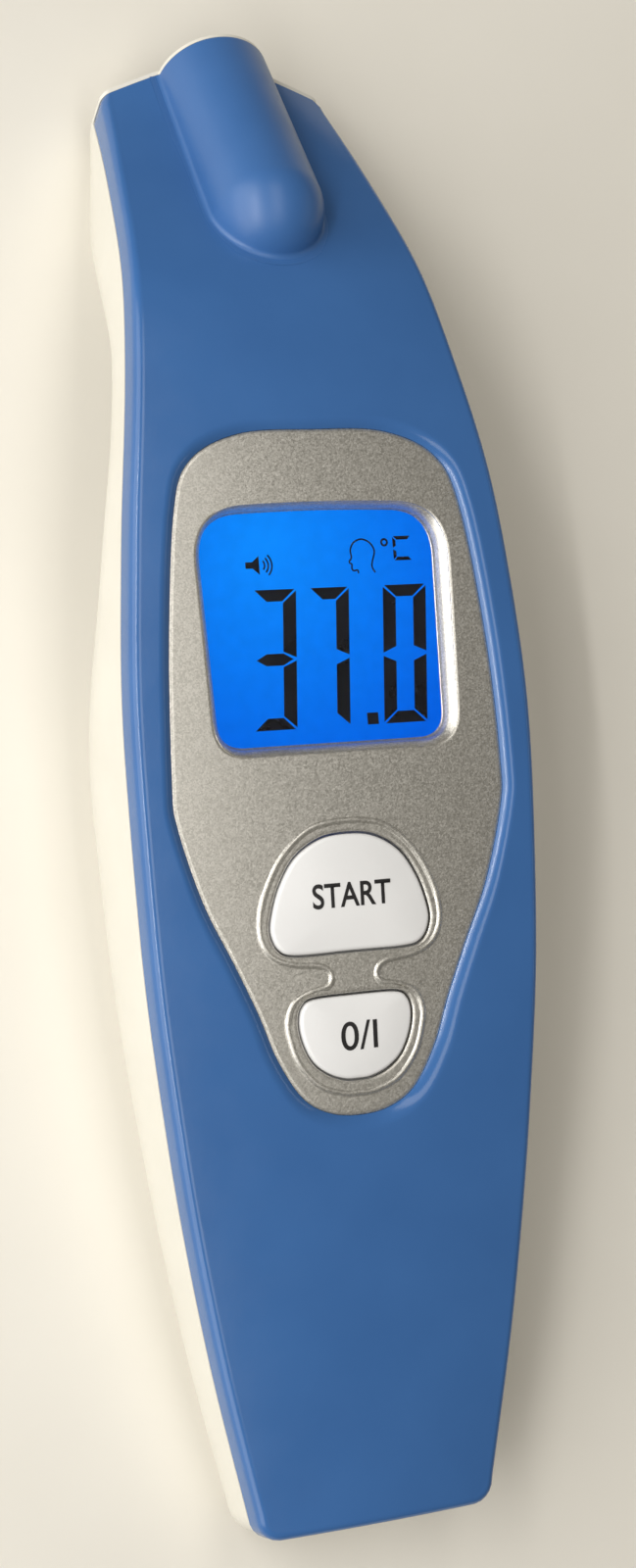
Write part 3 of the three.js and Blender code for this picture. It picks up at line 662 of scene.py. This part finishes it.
def barrel_hump():
    """The blue half of the sensor barrel: a straight run and a ball end, with a small fillet to the shell."""
    run = np.linspace(NOSE_THICKNESS, BARREL_STRAIGHT, 40)
    sweep = np.linspace(0, math.pi, 49)[1:-1]
    across = np.array([1.0, 0, 0])
    columns = [(s, across) for s in run]
    columns += [(BARREL_STRAIGHT, math.cos(t) * across - math.sin(t) * BARREL_AXIS) for t in sweep]
    columns += [(s, -across) for s in run[::-1]]
    centres = np.array([BARREL_END - s * BARREL_AXIS for s, _ in columns])
    outward = np.array([d for _, d in columns])
    sink = np.full(len(columns), -1.0)
    reach = np.full(len(columns), BARREL_RADIUS)
    for _ in range(8):
        reach = np.sqrt((BARREL_RADIUS + BARREL_FILLET) ** 2 - (sink + BARREL_FILLET) ** 2)
        foot = centres + outward * reach[:, None] + BARREL_UP * sink[:, None]
        gap = skin_under(foot[:, 0], foot[:, 1]) - foot[:, 2]
        sink = sink + gap * BARREL_UP[2]
    lowest = np.arctan2(sink + BARREL_FILLET, reach)
    rows = []
    for t in np.linspace(0, 1, 28):
        turn = math.pi / 2 + (lowest - math.pi / 2) * t
        out, up = BARREL_RADIUS * np.cos(turn), BARREL_RADIUS * np.sin(turn)
        rows.append(centres + outward * out[:, None] + BARREL_UP * up[:, None])
    centre_out, centre_up = reach, sink + BARREL_FILLET
    for t in np.linspace(0, 1, 8)[1:]:
        turn = math.pi + lowest + (1.5 * math.pi - math.pi - lowest) * t
        out = centre_out + BARREL_FILLET * np.cos(turn)
        up = centre_up + BARREL_FILLET * np.sin(turn)
        rows.append(centres + outward * out[:, None] + BARREL_UP * up[:, None])
    rows[-1] = rows[-1] + BARREL_UP * 0.012
    rows.append(centres + outward * (centre_out + 0.5)[:, None] + BARREL_UP * (sink - 0.05)[:, None])
    return skin_object("barrel_hump", rows, BLUE_SATIN, closed=False, sharp=60)


# ---- rear shell, battery door and nose -------------------

def rear_solid(name, inset=0.0, rise=0.0, drop=0.0, low=FOOT_Y, high=HEAD_Y, stations=150, steps=56):
    """The block behind the seam, with a flat middle."""
    power = 2 / BACK_SQUARENESS
    near_foot = np.linspace(0, 1, 12) ** 1.5 * CORNER_RADIUS + low
    along = np.concatenate([near_foot[:-1], np.linspace(low + CORNER_RADIUS, high, stations)])
    if high - low < 10:
        along = np.array([low, high])
    turn = np.linspace(0, math.pi, steps + 1)
    across = -np.sign(np.cos(turn)) * np.abs(np.cos(turn)) ** power
    sink = np.minimum(BACK_FLATTENING * np.maximum(np.sin(turn), 0) ** power, 1)
    rows = []
    for y in along:
        at = min(y, HEAD_Y)
        half = half_width(at) - corner_inset(y) - inset
        depth = seam(at) - back(at) - inset - 0.3 * corner_inset(y)
        under = body_point(across * half, y, seam(at) - drop - (depth - drop) * sink)
        over = body_point(across * half, y, seam(at) - drop + rise)
        rows.append(np.vstack([over, under[::-1]]))
    return skin_object(name, rows, None, ends="strips")


def front_solid(name, inset, drop, low, high, steps=40):
    """The block under the crowned front, between two stations near the head's end."""
    rows = []
    for y in (low, high):
        at = min(y, HEAD_Y)
        half = half_width(at) - inset
        edge = half - EDGE_RADIUS
        x = np.concatenate([
            -edge - EDGE_RADIUS * np.cos(np.linspace(0, math.pi / 2, 8)),
            np.linspace(-edge, edge, steps)[1:-1],
            edge + EDGE_RADIUS * np.cos(np.linspace(math.pi / 2, 0, 8)),
        ])
        past = np.maximum(np.abs(x) - edge, 0)
        rounding = EDGE_RADIUS - np.sqrt(np.maximum(EDGE_RADIUS**2 - past**2, 0))
        crown = front(at) - drop + CROWN * (1 - (np.minimum(np.abs(x), edge) / half_width(at)) ** 2)
        over = body_point(x, y, crown - rounding)
        under = body_point(x, y, np.full(len(x), seam(at)))
        rows.append(np.vstack([over, under[::-1]]))
    return skin_object(name, rows, None, ends="strips")


def barrel_solid(radius, low, high):
    rows = turned_rows([(radius, low), (radius, high)], BARREL_END, BARREL_AXIS, BARREL_UP)
    return skin_object("cutter", rows, None, ends=True)


def screw_places():
    """Centre of each case screw's head in the datum frame, read from the model."""
    for place_name in ("foot_left", "foot_right", "neck_left", "neck_right"):
        name = f"case_screw_{place_name}"
        low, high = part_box(name)
        yield name, (low.x + high.x) / 2 / MM, (low.y + high.y) / 2 / MM - DATUM_Y, low.z / MM


def round_post(x, y, low, high, radius):
    rows = turned_rows([(radius, low), (radius, high)], (x, y, 0), (0, 0, 1), (0, 1, 0), 40)
    return skin_object("cutter", rows, None, ends=True)


def rear_shell():
    shell = rear_solid("rear_shell", drop=SEAM)
    hollow = rear_solid(
        "cutter", inset=WALL, rise=4, low=FOOT_Y + WALL, high=HEAD_Y + 4, stations=90, steps=40)
    boolean(shell, hollow, "DIFFERENCE")
    ledge = DOOR_THICKNESS + 0.3
    shelf = box_object((-SHELF_HALF, FOOT_Y + 1, ledge), (SHELF_HALF, SHELF_END, ledge + SHELF_THICKNESS))
    boolean(shell, shelf, "UNION")
    for _, x, y, head in screw_places():
        start = back(y) + 0.3 if y > 0 else DOOR_THICKNESS + 0.4
        boolean(shell, round_post(x, y, start, head + 3.6, POST_RADIUS), "UNION")
    half = DOOR_HALF + DOOR_GAP
    ceiling = DOOR_THICKNESS + DOOR_GAP
    doorway = box_object((-half, FOOT_Y - 5, -5), (half, DOOR_END + DOOR_GAP, ceiling))
    boolean(shell, doorway, "DIFFERENCE")
    half = TONGUE_HALF + DOOR_GAP
    slot = box_object((-half, DOOR_END, 0.95), (half, DOOR_END + TONGUE_REACH + DOOR_GAP, ceiling))
    boolean(shell, slot, "DIFFERENCE")
    for _, x, y, head in screw_places():
        boolean(shell, round_post(x, y, -5, head + 1.4, SCREW_WELL_RADIUS), "DIFFERENCE")
    boolean(shell, barrel_solid(BARREL_RADIUS + 0.3, -NOSE_THICKNESS, 6), "DIFFERENCE")
    return all_white(shell)


def door_panel():
    """The sliding battery door, with a thumb scoop and ribs."""
    door = rear_solid("door_panel")
    footprint = box_object((-DOOR_HALF, FOOT_Y - 5, -5), (DOOR_HALF, DOOR_END, DOOR_THICKNESS))
    boolean(door, footprint, "INTERSECT")
    tongue = box_object(
        (-TONGUE_HALF, DOOR_END - 1, 1.05), (TONGUE_HALF, DOOR_END + TONGUE_REACH, DOOR_THICKNESS))
    boolean(door, tongue, "UNION")
    turn = np.linspace(0, 2 * math.pi, 48, endpoint=False)
    wide, long = SCOOP_SIZE
    scoop = skin_object("cutter", [
        np.array([(wide * k * math.cos(t), SCOOP_Y + long * k * math.sin(t), z) for t in turn])
        for k, z in ((1.06, -0.5), (1.0, 0.15), (0.86, 0.55), (0.6, 0.75))
    ], None, ends=True)
    boolean(door, scoop, "DIFFERENCE")
    turn = np.linspace(0, 2 * math.pi, 12, endpoint=False)
    for i in range(RIB_COUNT):
        y = SCOOP_Y + RIB_PITCH * (i - (RIB_COUNT - 1) / 2)
        half = 6.1 * math.sqrt(max(1 - ((y - SCOOP_Y) / 5.4) ** 2, 0)) - 0.9
        rib = skin_object("cutter", [
            np.array([(x, y + RIB_RADIUS * math.cos(t), 0.62 - 0.5 * math.sin(t)) for t in turn])
            for x in np.linspace(-half, half, 2)
        ], None, ends=True)
        boolean(door, rib, "UNION")
    return all_white(door)


def nose_cap():
    """The white end plate: the body's end section and the barrel's lid, with the sensor's mouth."""
    cap = rear_solid("nose_cap", inset=0.1, low=HEAD_Y + SEAM, high=HEAD_Y + NOSE_THICKNESS)
    boolean(cap, front_solid("cutter", 0.1, 0.1, HEAD_Y + SEAM, HEAD_Y + NOSE_THICKNESS), "UNION")
    boolean(cap, barrel_solid(BARREL_RADIUS - 0.05, SEAM - NOSE_THICKNESS, 0), "UNION")
    boolean(cap, barrel_solid(BARREL_BORE - 0.2, -1.6, -0.02), "UNION")
    mouth = ((-0.6, -3), (-0.6, -1.0), (-0.35, -0.5), (0, -0.25), (0.15, 0.1), (0.15, 3))
    bore = turned_rows([(APERTURE_RADIUS + more, along) for more, along in mouth],
                       BARREL_END, BARREL_AXIS, BARREL_UP)
    boolean(cap, skin_object("cutter", bore, None, ends=True), "DIFFERENCE")
    return all_white(cap)


# ---- panel -----------------------------------------------

def inside(points, outline):
    """Which points lie within a closed outline."""
    x, y = points[:, 0][:, None], points[:, 1][:, None]
    a, b = outline, np.roll(outline, -1, axis=0)
    rise = np.where(b[:, 1] == a[:, 1], 1e-9, b[:, 1] - a[:, 1])
    left_of = x < (b[:, 0] - a[:, 0]) * (y - a[:, 1]) / rise + a[:, 0]
    crosses = ((a[:, 1] > y) != (b[:, 1] > y)) & left_of
    return crosses.sum(1) % 2 == 1


def panel_height(spot):
    return skin(spot[:, 0], spot[:, 1]) - PLATE_RECESS


def key_plan(half, grow):
    """A key's closed outline in plan, at the height of the panel over the circuit board."""
    return board_point(*mirrored(half, grow).T, KEY_PLAN_HEIGHT)[:, :2]


def key_opening(key, more=0.0):
    return key_plan(spline(key["outline"], 60), KEY_GAP + more)


def window_plan(grow):
    loop = window_outline(grow)
    return display_point(loop[:, 0], loop[:, 1], 0)[:, :2]


def faceplate_panel():
    """The silver plate: rounded edges at its openings and a raised bead round the two keys."""
    plate = spline(PLATE_OUTLINE, 130)
    bead = spline(BEAD_OUTLINE, 150)
    loops = [(mirrored(plate, grow), drop) for grow, drop in ((-0.03, 0.10), (-0.25, 0.0), (-0.45, 0.0))]
    for key in (START, POWER):
        loops += [(key_opening(key, more), drop)
                  for more, drop in ((0, 0.12), (0.1, 0.03), (0.25, 0.0), (0.42, 0.0))]
    loops += [(window_plan(BEVEL + more), drop) for more, drop in ((0.02, 0.10), (0.15, 0.0), (0.35, 0.0))]
    loops += [(mirrored(bead, grow), -BEAD_HEIGHT * share) for grow, share in BEAD_SECTION]
    points, edges, drops = [], [], []
    for loop, drop in loops:
        first = len(points)
        points += [tuple(p) for p in loop]
        edges += [(first + i, first + (i + 1) % len(loop)) for i in range(len(loop))]
        drops += [drop] * len(loop)
    lines = np.array(points)
    grid = np.stack(np.meshgrid(np.arange(-18.5, 18.6, 0.9), np.arange(-33.5, 36, 0.9)), -1).reshape(-1, 2)
    grid = grid[inside(grid, loops[2][0])]
    clear = np.array([np.min(np.hypot(*(lines - g).T)) > 0.45 for g in grid])
    holes = [key_opening(START), key_opening(POWER), window_plan(BEVEL + 0.02)]
    for hole in holes:
        clear &= ~inside(grid, hole)
    points += [tuple(p) for p in grid[clear]]
    drops += [0.0] * int(clear.sum())
    made = delaunay_2d_cdt([Vector(p) for p in points], edges, [], 0, 1e-5)
    flat = np.array([tuple(p) for p in made[0]])
    drop = np.array([drops[origin[0]] if origin else 0.0 for origin in made[3]])
    faces = np.array(made[2])
    centres = flat[faces].mean(1)
    keep = inside(centres, loops[0][0])
    for hole in holes:
        keep &= ~inside(centres, hole)
    solid = np.column_stack([flat, panel_height(flat) - drop])
    panel = make_object("faceplate_panel", solid, faces[keep], SILVER, sharp=50)
    skirts = []
    for loop, depth in ((loops[0][0], 0.10), *((hole, 0.12) for hole in holes[:2])):
        top = panel_height(loop) - depth
        rows = [np.column_stack([loop, z]) for z in (top, top - PLATE_THICKNESS)]
        skirts.append(skin_object("skirt", rows, SILVER))
    return join([panel, *skirts])


def join(pieces):
    """One object from several."""
    work = bmesh.new()
    for piece in pieces:
        work.from_mesh(piece.data)
    work.to_mesh(pieces[0].data)
    work.free()
    for piece in pieces[1:]:
        bpy.data.objects.remove(piece)
    return resharpen(pieces[0], 50)


def window_rows(steps):
    """The window's outline at each [grow, height] over the display's face."""
    return [display_point(*window_outline(grow).T, height) for grow, height in steps]


def window_bezel():
    """The silver slope from the plate down to the display: a lit chamfer over a steep wall."""
    plan = window_plan(BEVEL + 0.02)
    rows = [np.column_stack([plan, panel_height(plan) - 0.10])] + window_rows(
        ((1.0, -0.16), (0.85, -0.26), (0.45, -0.72), (0.36, -0.86), (0.14, -1.70), (0.0, -1.80)))
    return skin_object("window_bezel", rows, SILVER, sharp=24)


def display_pane():
    """The clear window, its edges eased."""
    rows = window_rows(((-0.02, -1.76), (-0.02, -1.62), (-0.12, -1.52)))
    return skin_object("display_pane", rows, LENS, ends=True)


# ---- display reading -------------------------------------

INK_HEIGHT = -1.83
SLANT = math.radians(4.6)
DIGIT_FOOT = -10.2
DIGIT_HEIGHT = 14.15
BAR = 1.2
UPRIGHT_BAR = 1.45
SEGMENT_GAP = 0.17


def flat_shapes(name, shapes, height, thickness, material, to_datum):
    """Thin flat shapes, each a list of 2-D points, joined in one object."""
    points, faces = [], []
    for shape in shapes:
        first, count = len(points), len(shape)
        for level in (height, height - thickness):
            points += [to_datum(x, v, level) for x, v in shape]
        faces.append(tuple(range(first, first + count)))
        for i in range(count):
            after = first + (i + 1) % count
            faces.append((first + i, after, count + after, first + count + i))
    return make_object(name, np.array(points), faces, material)


def segment_shapes(lit, left, width):
    """A seven-segment figure, slanted a little; `lit` names its segments a to g."""
    gap, middle, high = SEGMENT_GAP, DIGIT_HEIGHT / 2, DIGIT_HEIGHT
    half, inner, right = BAR / 2, UPRIGHT_BAR, width
    far, near, notch = right - inner, right - gap, gap * 0.4
    upper = (high - gap, high - BAR - gap, middle + half + gap, middle + gap)
    lower = (gap, BAR + gap, middle - half - gap, middle - gap)
    parts = {
        "a": [(gap, high), (near, high), (far - notch, high - BAR), (inner + notch, high - BAR)],
        "d": [(gap, 0), (near, 0), (far - notch, BAR), (inner + notch, BAR)],
        "g": [(gap * 2, middle), (inner, middle + half), (far, middle + half), (right - gap * 2, middle),
              (far, middle - half), (inner, middle - half)],
        "b": list(zip((right, far, far, right), upper)),
        "c": list(zip((right, far, far, right), lower)),
        "f": list(zip((0, inner, inner, 0), upper)),
        "e": list(zip((0, inner, inner, 0), lower)),
    }
    lean = math.tan(SLANT)
    return [[(left + x + lean * (y - middle), DIGIT_FOOT + y) for x, y in parts[key]] for key in lit]


def arc_band(cx, cy, radius, width, start, end, steps=14):
    turn = np.radians(np.linspace(start, end, steps))
    outer, inner = (
        [(cx + reach * math.cos(t), cy + reach * math.sin(t)) for t in turn]
        for reach in (radius + width / 2, radius - width / 2))
    return [outer[i:i + 2] + inner[i:i + 2][::-1] for i in range(steps - 1)]


def line_band(points, width):
    """A line of even width through points, as one quad for each stretch."""
    line = spline(points, 60, half=False)
    tangent = np.gradient(line, axis=0)
    tangent /= np.linalg.norm(tangent, axis=1, keepdims=True)
    side = np.stack([-tangent[:, 1], tangent[:, 0]], -1) * width / 2
    left, right = line + side, line - side
    return [[tuple(p) for p in (left[i], left[i + 1], right[i + 1], right[i])] for i in range(len(line) - 1)]


def display_reading():
    """A generic reading of 37.0, with a unit sign, a loudspeaker sign and a plain head sign."""
    shapes = []
    for lit, left, width in (("abgcd", -7.95, 4.75), ("abc", -1.75, 4.45), ("abcdef", 6.55, 4.9)):
        shapes += segment_shapes(lit, left, width)
    foot, top = DIGIT_FOOT, DIGIT_FOOT + BAR
    shapes.append([(4.1, foot), (5.35, foot), (5.35, top), (4.1, top)])
    shapes.append([(-7.95, 6.15), (-7.2, 6.15), (-6.45, 5.5), (-6.45, 7.4), (-7.2, 6.8), (-7.95, 6.8)])
    for radius in (0.6, 1.0, 1.4):
        shapes += arc_band(-6.45, 6.45, radius, 0.17, -46, 46)
    head = [(4.5, 5.25), (4.45, 5.6), (4.0, 5.55), (3.8, 5.8), (3.85, 6.2), (3.55, 6.45), (3.85, 6.9),
            (3.8, 7.7), (4.25, 8.45), (5.15, 8.75), (6.05, 8.35), (6.5, 7.5), (6.2, 6.5), (6.1, 5.9),
            (6.4, 5.3)]
    shapes += line_band(head, 0.17)
    shapes += arc_band(7.7, 8.35, 0.33, 0.22, 0, 360, 16)
    shapes += [
        [(8.75, 8.95), (10.65, 8.95), (10.35, 8.58), (9.1, 8.58)],
        [(8.65, 8.85), (9.0, 8.5), (9.0, 7.95), (8.65, 7.75)],
        [(8.65, 7.6), (9.0, 7.4), (9.0, 6.85), (8.65, 6.55)],
        [(8.75, 6.45), (10.65, 6.45), (10.35, 6.82), (9.1, 6.82)],
    ]
    return flat_shapes("display_reading", shapes, INK_HEIGHT, 0.015, SEGMENT, display_point)


# ---- keys ------------------------------------------------

def key_top(spot, edge):
    """Height of a key's face: the panel's, a little proud, with a slight dome; `edge` is 0 at the rim."""
    return panel_height(spot) + KEY_RISE + KEY_DOME * np.sin(edge * math.pi / 2)


def key_cap(key):
    """A key: its flange under the panel, a wall with a rounded edge, and a slightly domed face."""
    half = spline(key["outline"], 80)
    foot = key["flange"]
    rows = [board_point(*mirrored(half, lip).T, height) for lip, height in (
        (FLANGE_LIP, foot), (FLANGE_LIP, foot + 0.6), (0, foot + 0.62))]
    base = key_plan(half, 0)
    middle = board_point(0, half[:, 1].mean(), KEY_PLAN_HEIGHT)[:2]
    rows.append(np.column_stack([base, key_top(base, 0) - KEY_EDGE - 0.1]))
    for turn in np.linspace(0, math.pi / 2, 7):
        inset = KEY_EDGE * (1 - math.cos(turn))
        loop = key_plan(half, -inset)
        rows.append(np.column_stack([loop, key_top(loop, 0) - KEY_EDGE * (1 - math.sin(turn))]))
    rim = key_plan(half, -KEY_EDGE)
    for t in (0.06, 0.15, 0.28, 0.45, 0.62, 0.8, 0.93):
        loop = rim + (middle - rim) * t
        rows.append(np.column_stack([loop, key_top(loop, min(t * 1.6, 1.0))]))
    return skin_object(f"{key['name']}_key", rows, KEY_WHITE, ends=True, sharp=40)


def lettering(key):
    """Plain printed letters on a key's face."""
    text = bpy.data.curves.new("letters", "FONT")
    text.body = key["label"]
    text.resolution_u = 6
    text.offset = key["weight"]
    holder = linked("letters", text)
    bpy.context.view_layer.update()
    mesh = bpy.data.meshes.new_from_object(holder.evaluated_get(bpy.context.evaluated_depsgraph_get()))
    bpy.data.objects.remove(holder)
    work = bmesh.new()
    work.from_mesh(mesh)
    bmesh.ops.remove_doubles(work, verts=work.verts, dist=1e-5)
    bmesh.ops.triangulate(work, faces=work.faces)
    for _ in range(2):
        bmesh.ops.subdivide_edges(work, edges=work.edges, cuts=1)
    bmesh.ops.triangulate(work, faces=work.faces)
    work.to_mesh(mesh)
    work.free()
    spots = np.array([v.co[:2] for v in mesh.vertices])
    low, high = spots.min(0), spots.max(0)
    spots = (spots - (low + high) / 2) / (high - low) * key["label_size"] + (0, key["label_y"])
    middle = np.mean([y for _, y in key["outline"]])
    across = max(x for x, _ in key["outline"])
    edge = np.clip(1.6 * (1 - np.hypot(spots[:, 0] / across, (spots[:, 1] - middle) / across)), 0, 1)
    heights = key_top(spots, edge) + LABEL_PRINT
    for vertex, spot in zip(mesh.vertices, place(np.column_stack([spots, heights]))):
        vertex.co = spot
    mesh.materials.clear()
    mesh.materials.append(INK)
    return linked(f"{key['name']}_lettering", mesh)


def key_dome(key):
    """The silicone dome under a key, built in its rest shape on the board."""
    foot, top = DOME_FOOT, key["flange"] - DOME_FOOT
    ceiling = top - DOME_WALL
    section = [
        (0, ceiling), (1.85, ceiling), (2.0, ceiling - 0.06), (2.92, foot + 0.12), (3.0, foot), (4.32, foot),
        (4.4, foot + 0.08), (4.4, foot + 0.24), (4.32, foot + 0.3), (3.3, foot + 0.3), (3.2, foot + 0.34),
        (3.14, foot + 0.44), (2.68, top - 0.16), (2.6, top - 0.05), (2.5, top), (0, top),
    ]
    up = board_point(0, 0, 1) - board_point(0, 0, 0)
    centre = board_point(0, key["dome_y"], 0)
    dome = skin_object(f"{key['name']}_dome", turned_rows(section, centre, up, (1, 0, 0)), SILICONE)
    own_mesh(dome)
    return dome


# ---- assembly --------------------------------------------

BODY = "thermometer_body"


def add(piece, body, slot, *nodes):
    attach(piece, body)
    if nodes:
        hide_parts(*nodes)
    return piece


add(front_shell(), BODY, "blue_shell", "front_cover")
add(barrel_hump(), BODY, "blue_shell")
add(rear_shell(), BODY, "white_shell", "rear_cover")
add(nose_cap(), BODY, "white_shell", "nose_plate")
add(door_panel(), "battery_door", "white_shell", "battery_door")
add(faceplate_panel(), BODY, "silver_panel", "faceplate")
add(window_bezel(), BODY, "silver_panel", "display_bezel")
add(display_pane(), BODY, "clear_lens", "display_lens")
add(display_reading(), BODY, "black_plastic")
for key in (START, POWER):
    add(key_cap(key), f"{key['name']}_button", "white_key", f"{key['name']}_button_cap")
    add(lettering(key), f"{key['name']}_button", "black_plastic")
    add(key_dome(key), BODY, "silicone", f"{key['name']}_key_dome")

NODE_LOOKS = {
    "display_glass": BACKLIT, "backlight_plate": KEY_WHITE, "battery_tray": WHITE,
    "main_circuit_board": BOARD,
    "sensor_board": BOARD, "controller_chip": CHIP, "memory_chip": CHIP, "buzzer": CHIP, "crystal_can": STEEL,
    "sensor_cable": FILM, "sensor_sleeve": ALUMINIUM, "sensor_ring": RUBBER, "thermopile_can": STEEL,
    "thermopile_window": FILTER, "contact_strip_upper": RUBBER, "contact_strip_lower": RUBBER,
    "battery_left": WRAP, "battery_right": WRAP, "battery_spring_foot": STEEL, "battery_spring_head": STEEL,
    "battery_bridge": GOLD, "battery_contact_positive": GOLD, "battery_contact_negative": GOLD,
    "start_contact_pill": RUBBER, "power_contact_pill": RUBBER, "start_contact_pad": GOLD,
    "power_contact_pad": GOLD,
}
for name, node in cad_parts.items():
    look = STEEL if name.startswith("case_screw") else NODE_LOOKS.get(name)
    if look is not None:
        for material_slot in node.material_slots:
            material_slot.material = look


# ---- floor, lights and camera ----------------------------

def floor():
    material, tree, shader = principled("pale_paper", Roughness=0.75)
    colour = ramp(tree, noise(tree, 25, 3), 0.3, 0.7, (0.76, 0.73, 0.66), (0.80, 0.77, 0.70))
    tree.links.new(colour, shader.inputs["Base Color"])
    bump(tree, shader, noise(tree, 900, 2), 0.1, 0.0001)
    mesh = bpy.data.meshes.new("floor")
    mesh.from_pydata([(-3, -3, 0), (3, -3, 0), (3, 3, 0), (-3, 3, 0)], [], [(0, 1, 2, 3)])
    mesh.materials.append(material)
    linked("floor", mesh)


def soft_light(name, spot, target, size, watts, colour):
    """A rectangular softbox aimed at a place; its first size runs along the body."""
    light = bpy.data.lights.new(name, "AREA")
    light.shape = "RECTANGLE"
    light.size, light.size_y = size
    light.energy = watts
    light.color = colour
    lamp = linked(name, light)
    rear = (Vector(spot) - Vector(target)).normalized()
    along = Vector((0, 1, 0))
    along = (along - rear * along.dot(rear)).normalized()
    turned = Matrix((along, rear.cross(along), rear)).transposed().to_4x4()
    lamp.matrix_world = Matrix.Translation(spot) @ turned
    lamp.visible_camera = False


def studio():
    scene = bpy.context.scene
    scene.view_settings.view_transform = "Standard"
    world = bpy.data.worlds.new("studio")
    scene.world = world
    world.use_nodes = True
    background = world.node_tree.nodes["Background"]
    background.inputs["Color"].default_value = (1.0, 0.91, 0.74, 1)
    background.inputs["Strength"].default_value = 0.11
    soft_light("key", (-0.484, 0.01, 0.312), (0, 0.01, 0.015), (1.1, 0.572), 4.74, (1.0, 0.985, 0.96))
    soft_light("overhead", (0.0, 0.05, 0.42), (0.0, 0.05, 0), (0.6, 0.12), 0.58, (1.0, 0.97, 0.92))
    soft_light("strip", (-0.193, 0.01, 0.245), (0, 0.01, 0.015), (0.32, 0.012), 0.27, (1.0, 0.99, 0.97))
    soft_light("window", (0.46, 0.03, 0.22), (0, 0, 0.01), (0.36, 0.03), 0.06, (1.0, 0.98, 0.95))


CAMERA_SPOT = (-125.1, -20.8, 288.3)
CAMERA_FORWARD = Vector((0.4154, 0.0703, -0.9069))
CAMERA_TOP = Vector((0.0651, 0.9922, 0.1067))


def camera():
    data = bpy.data.cameras.new("camera")
    data.lens = 67.5
    data.sensor_width = 36.0
    data.clip_start, data.clip_end = 0.01, 20.0
    body = linked("camera", data)
    right = CAMERA_FORWARD.cross(CAMERA_TOP).normalized()
    top = right.cross(CAMERA_FORWARD).normalized()
    body.matrix_world = Matrix.Translation(place(CAMERA_SPOT).tolist()) @ Matrix(
        (right, top, -CAMERA_FORWARD.normalized())).transposed().to_4x4()
    bpy.context.scene.camera = body


floor()
studio()
camera()
